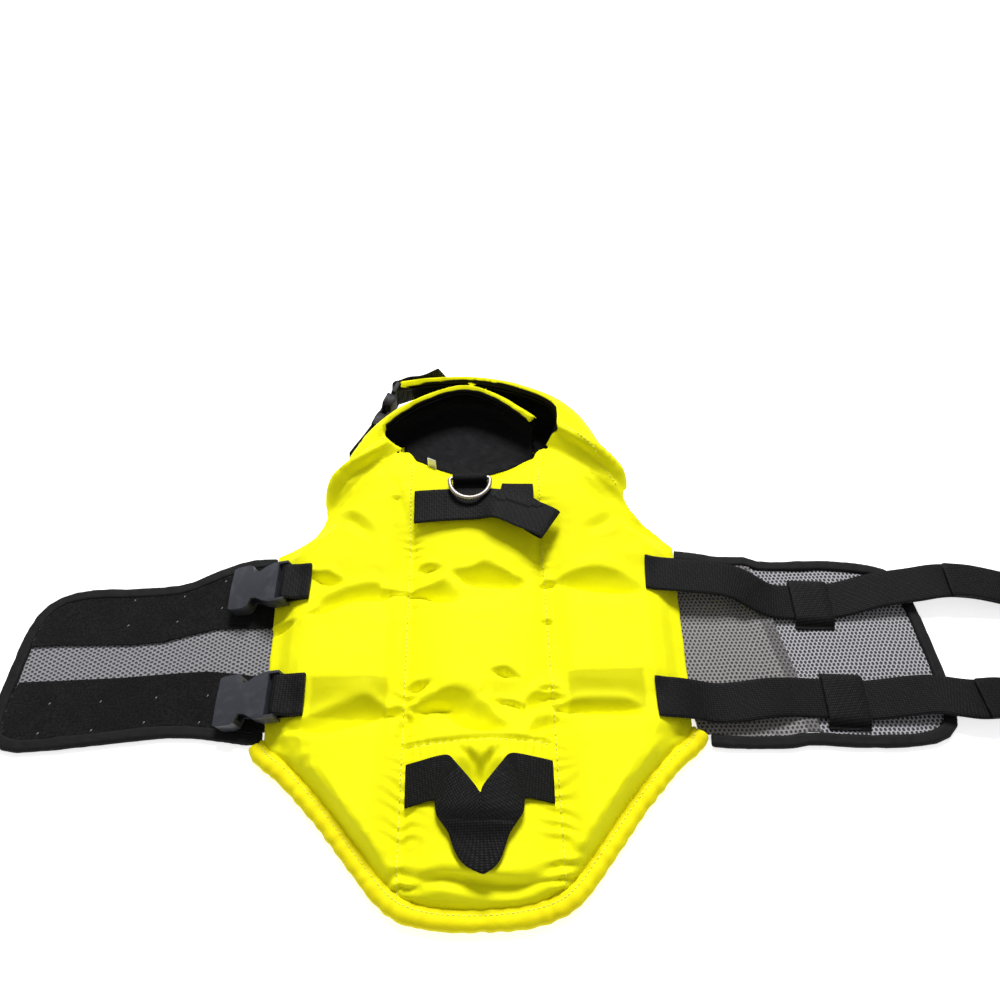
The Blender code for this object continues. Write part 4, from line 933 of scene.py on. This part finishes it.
CREASES = (  # x, y, depth, width of the slope on the left, on the right
    # middle channel, from the neck to the tail
    Crease(((-42, 65.5, 0, 2, 2), (-34, 66, 2.2, 6, 2), (-23, 66.5, 0, 3, 2))),
    Crease(((-45, 49, 1.5, 1.5, 2), (-37, 47.6, 3.4, 6, 3), (-23, 43.2, 4.6, 16, 4), (-11, 44.2, 0, 14, 3))),
    Crease((
        (-17, 64, 0, 3, 3), (-6.5, 56.5, 3.6, 13, 3), (4.9, 53.3, 5.4, 17, 3), (22, 52.8, 4, 10, 3),
        (34, 55, 0, 3, 2),
    )),
    Crease(((42, 53, 0, 1.5, 2), (47, 53.2, 2.6, 5.5, 2), (53.5, 53.5, 0, 2, 2))),
    Crease(((41, 27, 0, 1.5, 1.5), (45, 25, 1.6, 4, 2), (50, 23.5, 0, 2, 2))),
    Crease(((7.5, -10, 0, 2, 2.5), (16, -13, 2.8, 6, 2.5), (26.5, -15.5, 0, 2, 2))),
    Crease(((-45, -20, 0, 2, 2.5), (-37, -19, 2.4, 6, 2.5), (-29, -14.5, 0, 2, 2.5))),
    Crease((
        (-43.5, -43.5, 1.5, 6, 3), (-32.5, -33.5, 3.6, 8, 3.5), (-25, -32.5, 4.6, 11, 3.5),
        (-17.8, -34.5, 5.6, 17, 4), (-9.3, -42, 5.8, 18, 4), (3.2, -45.3, 4.8, 14, 4), (11, -46.3, 2.6, 7, 4),
        (19, -46.8, 0, 3, 3),
    )),
    Crease((
        (-42, -33.5, 0, 2.5, 1.5), (-33, -31, 2, 3.5, 1.5), (-24, -30.2, 2, 3.5, 1.5), (-15, -30, 0, 2.5, 1.5),
    )),
    Crease(((6, -29, 0, 2, 1.5), (17.1, -30.9, 2, 3, 1.5), (25.5, -33.5, 1.8, 3, 1.5), (32.5, -38, 0, 2, 1.5))),
    Crease(((27, -34, 0, 3, 3), (35, -31, 2.6, 8, 3), (43, -29, 2.6, 10, 2))),
    Crease(((30, -51, 0, 2, 2), (36.5, -47, 2, 8, 2.5), (43, -45, 1.6, 9, 2))),
    Crease((
        (-43.5, -54.7, 1, 2.5, 1.5), (-21.6, -54.3, 1.2, 3, 1.5), (-0.1, -53.7, 1.2, 3, 1.5),
        (19.4, -53.6, 1.2, 3, 1.5), (42.5, -55, 1, 2.5, 1.5),
    )),
    Crease((
        (-22, -84, 0, 10, 3), (-8, -83, 3.2, 22, 3), (0, -82, 3.8, 24, 3), (8, -83, 3.2, 22, 3),
        (22, -84, 0, 10, 3),
    )),
    Crease(((-13, -58, 0, 3, 2), (-4, -66, 1.4, 5, 2.5), (-1, -80, 0.6, 4, 4))),
    Crease(((1, -80, 0.6, 4, 4), (5, -67, 1.4, 5, 2.5), (15, -58, 0, 4, 2))),
    Crease(((-42, -88, 0.8, 2.5, 1.5), (-20, -86.5, 1, 2.5, 1.5), (-8, -86, 0, 2.5, 1.5))),
    Crease(((8, -85.5, 0, 2.5, 1.5), (20, -85.7, 1, 2.5, 1.5), (42, -88, 0.8, 2.5, 1.5))),
    Crease((
        (-38, -131, 0, 5, 4), (-21, -129, 1.6, 8, 5), (0, -134, 2, 9, 4), (20, -134.5, 1.8, 8, 4),
        (38, -129, 0, 5, 4),
    )),
    # left channel
    Crease(((-111, 62, 1.8, 5, 2.5), (-101, 57.5, 3.2, 9, 2.5), (-87, 57, 0, 2.5, 2.5))),
    Crease((
        (-113, 31.5, 0, 2, 2), (-103, 33.5, 1.8, 5, 2), (-95.9, 37, 3.4, 9.5, 2.5), (-83.6, 44, 3.8, 10, 2.5),
        (-72, 44.6, 4.2, 12, 2.5), (-61.4, 44.5, 3.2, 11, 2.5), (-54.8, 48.5, 1.8, 3.5, 2), (-45, 49, 1.4, 2, 2),
    )),
    Crease(((-135, 25.5, 2, 4, 2.5), (-127, 27.5, 2, 5, 2.5), (-117, 30.5, 0, 2, 2.5))),
    Crease((
        (-113, -42, 1.5, 4, 5), (-97, -43, 3.2, 9, 7), (-80, -40, 4.2, 13, 6), (-66, -37.5, 4.4, 15, 4),
        (-58, -36.5, 2.4, 8, 3), (-51, -36.5, 0, 2, 2),
    )),
    Crease(((-57, -36, 0, 2, 2), (-51, -34.5, 2.4, 5, 2), (-45, -36, 1.6, 4, 2))),
    Crease(((-104, 110, 0, 6, 6), (-86, 103, 1.4, 8, 8), (-70, 90, 0, 6, 6))),
    Crease(((-63, 142, 0, 6, 6), (-56, 122, 1.2, 7, 7), (-51, 102, 0, 6, 6))),
    # right channel
    Crease((
        (52, 53.5, 0.5, 4, 3), (64, 51, 4, 12, 3), (79.4, 48, 5.6, 17, 3.5), (96, 46, 4.4, 14, 3.5),
        (112, 45, 0, 5, 3),
    )),
    Crease((
        (46, -34.5, 1.2, 2, 1.5), (56, -36.5, 3, 7, 1.8), (72, -38, 3.4, 9, 1.8), (90, -39, 3, 8.5, 1.8),
        (101, -39.5, 0, 3, 1.5),
    )),
    Crease(((106, 110, 0, 6, 6), (90, 98, 1.2, 8, 8), (74, 91, 0, 6, 6))),
    # neck flaps
    Crease(((56, 168, 0, 5, 5), (78, 152, 1.8, 6, 6), (98, 133, 1.4, 6, 5), (108, 123, 0, 4, 4))),
    Crease(((58, 176, -1, 5, 7), (83, 157, -2.8, 6, 7), (102, 138, -2.4, 5, 7), (110, 127, 0, 4, 6)), crest=0.0),
    Crease(((-108, 117, 0, 5, 5), (-94, 131, 1.6, 6, 6), (-76, 147, 1.6, 6, 6), (-57, 161, 0, 5, 5))),
    Crease(((-113, 123, 0, 4, 8), (-98, 138, -2.9, 5, 7), (-79, 154, -3, 5, 7), (-61, 169, -0.6, 4, 6)), crest=0.0),
)

HEM_WIDTH = 9.8
HEM_HALF = (
    (0.0, -152.3), (23.0, -151.0), (42.0, -146.8), (56.0, -138.5), (73.0, -120.0), (95.0, -94.0), (118.0, -70.6),
    (132.0, -60.0), (138.2, -52.0),
)
HEM_LINE = (*((-x, y) for x, y in reversed(HEM_HALF[1:])), *HEM_HALF)


@dataclass
class TailHem:
    """The strip that wraps the foam's edge round the tail, gathered by its sewing."""

    node: str = "tail_binding"
    voxel: float = 1.0
    rounds: int = 4
    fuller: float = 0.4
    gather: float = 0.35
    tuck: float = 1.2  # how far its inner side is pressed into the panels
    flat: tuple[float, float] = (0.012, 0.42)

    def build(self) -> bpy.types.Object:
        """The hem, shaped and hung on the jacket's body, with its solid hidden."""
        piece = softened(self.node + "_cloth", (self.node,), self.voxel, self.rounds)
        places, normals = places_of(piece)
        _, inward, reach = nearest(curve(HEM_LINE, 3.0)[:, :2], places[:, :2])
        gathers = np.sin(reach / 1.6 + 2.6 * NOISE(places, 10.0)) * (0.6 + 0.6 * NOISE(places, 17.0))
        upper = smooth((places[:, 2] - 0.8) / 1.5)
        shift = self.fuller + self.gather * gathers + 0.5 * NOISE(places, 15.0)
        shift = shift * upper + self.tuck * smooth((inward - 7.6) / 1.2)
        moved(piece, places + normals * shift[:, None])
        finished(piece, HEM_YELLOW)
        joined(piece, Slot.NYLON, self.node)
        return piece


@dataclass
class FlapLining:
    """The lining on a neck flap's inner side, wrinkled down from the rim."""

    side: str
    flat: tuple[float, float]
    wrinkle: float = 0.9

    def build(self, cloth: Ground) -> bpy.types.Object:
        """The lining, shaped under the outer cloth and hung on the jacket's body."""
        node = self.side + "_flap_lining"
        piece = subdivided(node + "_cloth", node, levels=3)
        places, _ = places_of(piece)
        out = places[:, :2] - RING_CENTRE
        turn = np.arctan2(out[:, 1], out[:, 0]) * 62.0
        column = np.column_stack([turn, places[:, 2] * 0.35, turn * 0.0])
        folds = NOISE(column, (7.5, 9.0, 1.0)) + 0.5 * NOISE(column + 40.0, (3.6, 6.0, 1.0))
        reach = np.maximum(np.linalg.norm(out, axis=1), 1.0)
        inner = smooth((reach - 34.0) / 14.0) * smooth((places[:, 2] - 2.0) / 6.0)
        places[:, :2] -= out / reach[:, None] * (self.wrinkle * (0.5 + 0.5 * folds) * inner)[:, None]
        for index in np.flatnonzero((reach > 58.0) & (places[:, 1] < 177.0)):
            found = cloth.at(places[index, 0], places[index, 1])
            if found:
                places[index, 2] = min(places[index, 2], max(found[0] - 1.5, 0.5))
        moved(piece, places)
        finished(piece, BLACK_NYLON)
        joined(piece, Slot.LINING, node)
        return piece


# ---- belly bands --------------------------------------------------------------------------------


@dataclass
class BandSheet:
    """A flat piece of a belly band: net or pile."""

    node: str
    material: bpy.types.Material
    slot: Slot
    flat: tuple[float, float]
    area: float | None = None
    step: float = 2.6
    ripple: float = 0.5
    ripple_size: tuple[float, float, float] = (26.0, 26.0, 26.0)
    tacks: Points = ()
    rests_on: tuple[str, ...] = ()

    def build(self) -> bpy.types.Object:
        """The sheet, rippled and hung on the jacket's body."""
        piece = diced(self.node + "_cloth", self.node, self.step)
        places, _ = places_of(piece)
        flat = places * (1.0, 1.0, 0.0)
        lift = self.ripple * (0.5 + 0.5 * NOISE(flat, self.ripple_size))
        for x, y in self.tacks:
            lift -= 0.5 * np.exp(-(((places[:, 0] - x) ** 2 + (places[:, 1] - y) ** 2) / 9.0))
        places[:, 2] += np.maximum(lift, 0.0)
        moved(piece, places)
        finished(piece, self.material, angle=40.0)
        joined(piece, self.slot, self.node)
        return piece


@dataclass
class BandTape:
    """The tape folded over a belly band's edge."""

    node: str
    flat: tuple[float, float]
    voxel: float = 0.9
    fuller: float = 0.6

    def build(self) -> bpy.types.Object:
        """The tape, slightly puckered, and hung on the jacket's body."""
        piece = softened(self.node + "_cloth", (self.node,), self.voxel, rounds=3)
        places, normals = places_of(piece)
        upper = smooth((places[:, 2] - 0.5) / 1.5)
        shift = self.fuller + 0.28 * NOISE(places, 5.0) + 0.3 * NOISE(places, 14.0)
        moved(piece, places + normals * (shift * upper)[:, None])
        finished(piece, BLACK_TAPE)
        joined(piece, Slot.TAPE, self.node)
        return piece


TACKS_UPPER = ((-173.0, 69.0), (-172.0, 48.0), (-200.0, 38.5), (-232.0, 55.6), (-232.0, 36.5), (-199.0, 57.7))
TACKS_LOWER = (
    (-267.5, -17.0), (-269.0, -36.0), (-236.0, -16.6), (-237.0, -35.0), (-202.0, -15.0), (-206.0, -31.0),
    (-170.0, -14.6), (-172.0, -32.0),
)


# ---- webbing ------------------------------------------------------------------------------------


@dataclass
class Belt:
    """A piece of webbing; its guide says which way its ribs lie."""

    node: str
    guide: Points
    levels: int = 2
    body: str = JACKET
    tip: float | None = None  # y of a fold beyond which the belt runs along X
    pressed: bool = False  # whether its folded end is pressed down on the cloth
    bed: float = 25.8  # height of the cloth that it is pressed on
    loose: float = 26.5  # height of its lowest layer before that
    squash: float = 0.6  # share of its fold's height that is left

    def build(self) -> bpy.types.Object:
        """The belt, with coordinates along and across it, hung on its body."""
        piece = subdivided(self.node + "_weave", self.node, self.levels)
        places, normals = places_of(piece)
        line = curve(self.guide, 3.0)[:, :3]
        _, side, reach = nearest(line, places)
        if not self.pressed:
            places += normals * (0.12 * NOISE(places, 9.0))[:, None]
        if self.tip is not None:
            beyond = self.tip - 0.07 * places[:, 0] - places[:, 1]
            reach, side = np.where(beyond > 0.0, (places[:, 0], places[:, 1]), (reach, side))
            towards_tip = np.clip(beyond - 5.0, 0.0, None) / 20.0
            places[:, 0] += 0.9 * towards_tip**1.7 * (places[:, 0] - 1.0)
            places[:, 2] += 0.9 * smooth(beyond / 2.0) * smooth((normals[:, 2] + 0.2) / 0.4)
            places[:, 2] -= 5.0 * smooth((beyond + 8.0) / 20.0)
        if self.pressed:
            lower = self.bed + self.squash * (places[:, 2] - self.loose)
            places[:, 2] += (lower - places[:, 2]) * smooth((places[:, 0] - 7.0) / 22.0)
        moved(piece, places)
        layer = piece.data.uv_layers.new(name="run")
        corners = np.empty(len(piece.data.loops), int)
        piece.data.loops.foreach_get("vertex_index", corners)
        run = np.column_stack([reach, side])[corners] * MM
        layer.data.foreach_set("uv", run.ravel())
        finished(piece, BLACK_WEBBING, angle=50.0)
        joined(piece, Slot.WEBBING, self.node, body=self.body)
        return piece


@dataclass
class TabRoot:
    """The ring tab's webbing where it lies on the back, under the ring and down to the handle."""

    low: tuple[float, float] = (-15.6, 123.5)
    high: tuple[float, float] = (9.2, 133.0)
    thickness: float = 1.3

    def build(self, ground: Ground) -> bpy.types.Object:
        """The webbing on the cloth under it, hung on the jacket's body."""
        shape = bmesh.new()
        run = shape.loops.layers.uv.new("run")
        bmesh.ops.create_grid(shape, x_segments=12, y_segments=6, size=0.5)
        middle = [(a + b) / 2 for a, b in zip(self.low, self.high)]
        for vertex in shape.verts:
            x = middle[0] + vertex.co.x * (self.high[0] - self.low[0])
            y = middle[1] + vertex.co.y * (self.high[1] - self.low[1])
            found = ground.at(x, y)
            height = found[0] if found else 27.0
            vertex.co = Vector((x, y, height + self.thickness)) * MM
        for face in shape.faces:
            for loop in face.loops:
                loop[run].uv = (loop.vert.co.y, loop.vert.co.x)
        piece = made("ring_tab_root", shape)
        wall = piece.modifiers.new("wall", "SOLIDIFY")
        wall.thickness = self.thickness * MM
        wall.offset = -1.0
        applied(piece)
        finished(piece, BLACK_WEBBING, angle=50.0)
        joined(piece, Slot.WEBBING)
        return piece


BELTS = (
    Belt("right_strap_upper", (
        (113, 58.6, 24), (140, 56.4, 17), (167, 53.7, 14.6), (186, 46, 9.8), (205, 40.8, 5), (239, 40.4, 4.6),
        (266, 45.3, 7.8), (303, 48.8, 11.2), (335, 49, 10.4), (380, 42, 1.3),
    )),
    Belt("right_strap_lower", (
        (108, -29.8, 17), (131, -30, 13.6), (148, -31.4, 8.8), (178, -28.4, 8.2), (212, -28.2, 4.6),
        (243, -30.6, 4.8), (284, -28.8, 8), (309, -34.4, 10.4), (350, -32, 1.3),
    )),
    Belt("keeper_upper", ((226, 20, 5), (224, 57, 5))),
    Belt("keeper_lower", ((229.8, -49, 5), (227.2, -12, 5))),
    Belt("left_loop_web_upper", ((-108, 57, 20), (-130, 57, 20))),
    Belt("left_loop_web_lower", ((-103, -22.8, 20), (-126, -22.8, 20))),
    Belt("upper_handle", (
        (41.5, 117, 26), (20, 117, 27.9), (16.4, 116.6, 29.6), (20, 114.8, 31.4), (28, 109.8, 31.9),
        (48.6, 92.9, 31.7), (51.4, 91, 34), (48.6, 92.9, 36.4), (28, 103.8, 36.2), (19, 107.8, 34.2),
        (11, 110.5, 30.9), (2, 111.8, 28.3), (-43, 112.2, 25),
    ), pressed=True),
    Belt("lower_handle", (
        (-43, -78, 20), (-30, -76.5, 20), (-21, -76.5, 21), (-15, -88, 24), (-7, -100, 26), (0.6, -106, 26),
        (7, -100, 26), (15, -88, 24), (21, -76.5, 21), (30, -76.5, 20), (43, -78, 20),
    ), levels=3, tip=-100.2),
    Belt("d_ring_tab", ((-3.5, 128, 33), (-3.5, 141, 30))),
    Belt("neck_strap", ((-22, 240, 18), (-50, 238, 17), (-66, 234, 17))),
    Belt("neck_web", ((-92, 166, 13), (-76, 196, 13))),
)


# ---- fittings -----------------------------------------------------------------------------------


@dataclass
class Moulding:
    """A buckle half with its edges eased."""

    node: str
    material: bpy.types.Material
    body: str = JACKET
    ease: float = 0.55
    segments: int = 3

    def build(self) -> bpy.types.Object:
        """The moulding, hung on its body."""
        shape = welded(self.node)
        bmesh.ops.dissolve_limit(shape, angle_limit=math.radians(4), verts=shape.verts, edges=shape.edges)
        piece = made(self.node + "_moulding", shape)
        bevel = piece.modifiers.new("ease", "BEVEL")
        bevel.width = self.ease * MM
        bevel.segments = self.segments
        bevel.limit_method = "ANGLE"
        bevel.angle_limit = math.radians(30)
        bevel.use_clamp_overlap = True
        applied(piece)
        finished(piece, self.material, angle=35.0)
        joined(piece, Slot.PLASTIC, self.node, body=self.body)
        return piece


@dataclass
class DRing:
    """The leash ring, bent from round wire."""

    node: str = "d_ring"
    bar: tuple[float, float, float] = (-3.5, 131.5, 33.38)  # middle of its straight side
    width: float = 28.6
    height: float = 17.0
    drop: float = -0.91  # height of the bow over the bar
    wire: float = 3.0

    def build(self) -> bpy.types.Object:
        """The ring, hung on the ring's body."""
        half = self.width / 2
        straight = self.height - half
        arcs = 28
        turns = [math.radians(180 * k / arcs) for k in range(arcs + 1)]
        outline = [(half * math.cos(a), straight + half * math.sin(a)) for a in turns]
        corner, cut = 1.6, 0.5
        outline += [(-half, corner), (-half + cut, cut), (-half + corner, 0.0)]
        outline += [(half - corner, 0.0), (half - cut, cut), (half, corner)]
        wire = bpy.data.curves.new("ring_wire", "CURVE")
        wire.dimensions = "3D"
        wire.bevel_depth = self.wire / 2 * MM
        wire.bevel_resolution = 8
        line = wire.splines.new("POLY")
        line.points.add(len(outline) - 1)
        x, y, z = self.bar
        for point, (across, out) in zip(line.points, outline):
            fall = self.drop * out / self.height
            point.co = ((x + across) * MM, (y - out) * MM, (z + fall) * MM, 1.0)
        line.use_cyclic_u = True
        guide = add_object("ring_guide", wire)
        bpy.context.view_layer.update()
        mesh = bpy.data.meshes.new_from_object(guide.evaluated_get(bpy.context.evaluated_depsgraph_get()))
        bpy.data.objects.remove(guide, do_unlink=True)
        piece = add_object("ring_of_wire", mesh)
        finished(piece, RING_STEEL)
        joined(piece, Slot.STEEL, self.node, body="d_ring")
        return piece


# ---- studio -------------------------------------------------------------------------------------


@dataclass(frozen=True)
class Lamp:
    """A soft square light that faces the jacket."""

    name: str
    place: tuple[float, float, float]
    aim: tuple[float, float, float]
    size: float
    power: float

    def build(self) -> None:
        """Adds the light."""
        light = bpy.data.lights.new(self.name, "AREA")
        light.size = self.size
        light.energy = self.power
        item = add_object(self.name, light)
        item.location = self.place
        item.rotation_euler = (Vector(self.aim) - Vector(self.place)).to_track_quat("-Z", "Y").to_euler()


@dataclass
class Studio:
    """Pale floor, soft lights, sky and camera."""

    lamps: tuple[Lamp, ...] = (
        Lamp("neck_side_light", place=(0.15, 2.0, 2.3), aim=(0.0, 0.0, 0.0), size=0.9, power=108.0),
    )
    sky: float = 0.34
    camera_place: tuple[float, float, float] = (0.00724, -0.22532, 0.480)
    camera_turn: tuple[float, float, float] = (37.0, 0.0, -1.72)
    lens: float = 28.92

    def build(self) -> None:
        """Sets the scene."""
        scene = bpy.context.scene
        scene.view_settings.view_transform = "Standard"
        world = bpy.data.worlds.new("sky")
        world.use_nodes = True
        world.node_tree.nodes["Background"].inputs[0].default_value = (1.0, 1.0, 1.0, 1.0)
        world.node_tree.nodes["Background"].inputs[1].default_value = self.sky
        scene.world = world
        for lamp in self.lamps:
            lamp.build()
        shape = bmesh.new()
        bmesh.ops.create_grid(shape, x_segments=4, y_segments=4, size=3.0)
        floor = made("floor", shape)
        floor.location.z = -0.0002
        graph = Graph("floor_paper")
        grain = graph.noise(graph.place(), 30.0, 3.0)
        colour = graph.between(graph.level(grain, 0.0, 1.0), (0.8, 0.8, 0.8), (0.84, 0.84, 0.84))
        finished(floor, graph.shade(Base_Color=colour, Roughness=0.9, Emission_Color=colour, Emission_Strength=0.85))
        camera = bpy.data.cameras.new("camera")
        camera.lens = self.lens
        camera.sensor_width = 36.0
        camera.clip_start = 0.01
        item = add_object("camera", camera)
        item.location = self.camera_place
        item.rotation_euler = [math.radians(angle) for angle in self.camera_turn]
        scene.camera = item


# ---- the whole jacket ---------------------------------------------------------------------------


def sew(cloth: Ground, bands: Ground, handle: Ground) -> None:
    """Adds the visible rows of stitches."""
    yellow = Sewing("panel_stitches", YELLOW_THREAD, Slot.NYLON, cloth, thickness=0.8)
    for sign in (-1.0, 1.0):
        yellow.row(((sign * 45.8, 150.0), (sign * 45.8, 60.0), (sign * 45.8, -40.0), (sign * 45.8, -134.0)))
    yellow.row(((-42.0, -54.7), (-21.6, -54.3), (-0.1, -53.7), (19.4, -53.6), (41.5, -55.0)))
    yellow.row(((-41.5, -88.0), (-20.0, -86.5), (20.0, -85.7), (41.5, -88.0)))
    yellow.row(HEM_LINE, offset=7.6)
    yellow.row(((61.9, 175.1), (84.5, 152.9), (94.0, 138.5), (102.1, 127.2)))
    yellow.row(((-65.9, 168.6), (-80.0, 158.3), (-97.5, 140.0)))
    yellow.build()
    tacks = Sewing("pile_tacks", GREY_THREAD, Slot.PILE, bands, thickness=0.8)
    for x, y in (*TACKS_UPPER, *TACKS_LOWER):
        tacks.stitch((x, y), (0.5, 0.86), 1.8)
    tacks.build()
    bars = Sewing("handle_stitches", BLACK_THREAD, Slot.WEBBING, handle, thickness=0.7)
    for x in (-21.3, -20.2, 3.4, 4.6):
        bars.row(((x, 100.0), (x, 111.0), (x, 122.5)))
    bars.build()


def main() -> None:
    """Builds the jacket and its studio."""
    Studio().build()
    cloth = OuterCloth(CREASES).build()
    hem = TailHem().build()
    FlapLining("left", flat=(0.036, 0.27)).build(Ground([cloth]))
    FlapLining("right", flat=(0.042, 0.32)).build(Ground([cloth]))
    bands = [BandSheet("left_band_mesh", BAND_NET, Slot.NET, flat=(0.15, 0.115), area=0.0156).build()]
    for level, flat, area, tacks in (
        ("upper", (0.155, 0.05), 0.0056, TACKS_UPPER),
        ("lower", (0.16, 0.045), 0.0057, TACKS_LOWER),
    ):
        net = ("left_band_mesh_cloth",)
        pile = BandSheet(f"left_loop_{level}", PILE, Slot.PILE, flat, area, tacks=tacks, rests_on=net)
        bands.append(pile.build())
    BandSheet("right_mesh_end", PALE_NET, Slot.NET, flat=(0.1, 0.12), area=0.0105, ripple=0.9).build()
    BandSheet(
        "right_mesh_root", DARK_NET, Slot.NET, flat=(0.065, 0.128), area=0.0079, ripple=1.4,
        ripple_size=(13.0, 34.0, 30.0),
    ).build()
    for side in ("left", "right"):
        BandTape(f"{side}_band_binding", flat=(0.01, 0.385)).build()
    belts = {belt.node: belt.build() for belt in BELTS}
    TabRoot().build(Ground([cloth]))
    for level in ("upper", "lower"):
        node = f"female_buckle_{level}"
        Moulding(node, SLATE_PLASTIC, node).build()
        Moulding(f"male_buckle_{level}", SLATE_PLASTIC).build()
    Moulding("neck_buckle_socket", BLACK_PLASTIC, ease=0.4).build()
    Moulding("neck_buckle_plug", BLACK_PLASTIC, ease=0.4).build()
    DRing().build()
    tab = subdivided("neck_tab_cloth", "neck_tab", levels=2)
    finished(tab, WHITE_TAPE, angle=40.0)
    joined(tab, Slot.LABEL, "neck_tab")
    sew(Ground([cloth, hem]), Ground(bands), Ground([belts["upper_handle"]]))


if __name__ == "__main__":
    logging.basicConfig(level=logging.INFO, format="%(message)s")
    main()
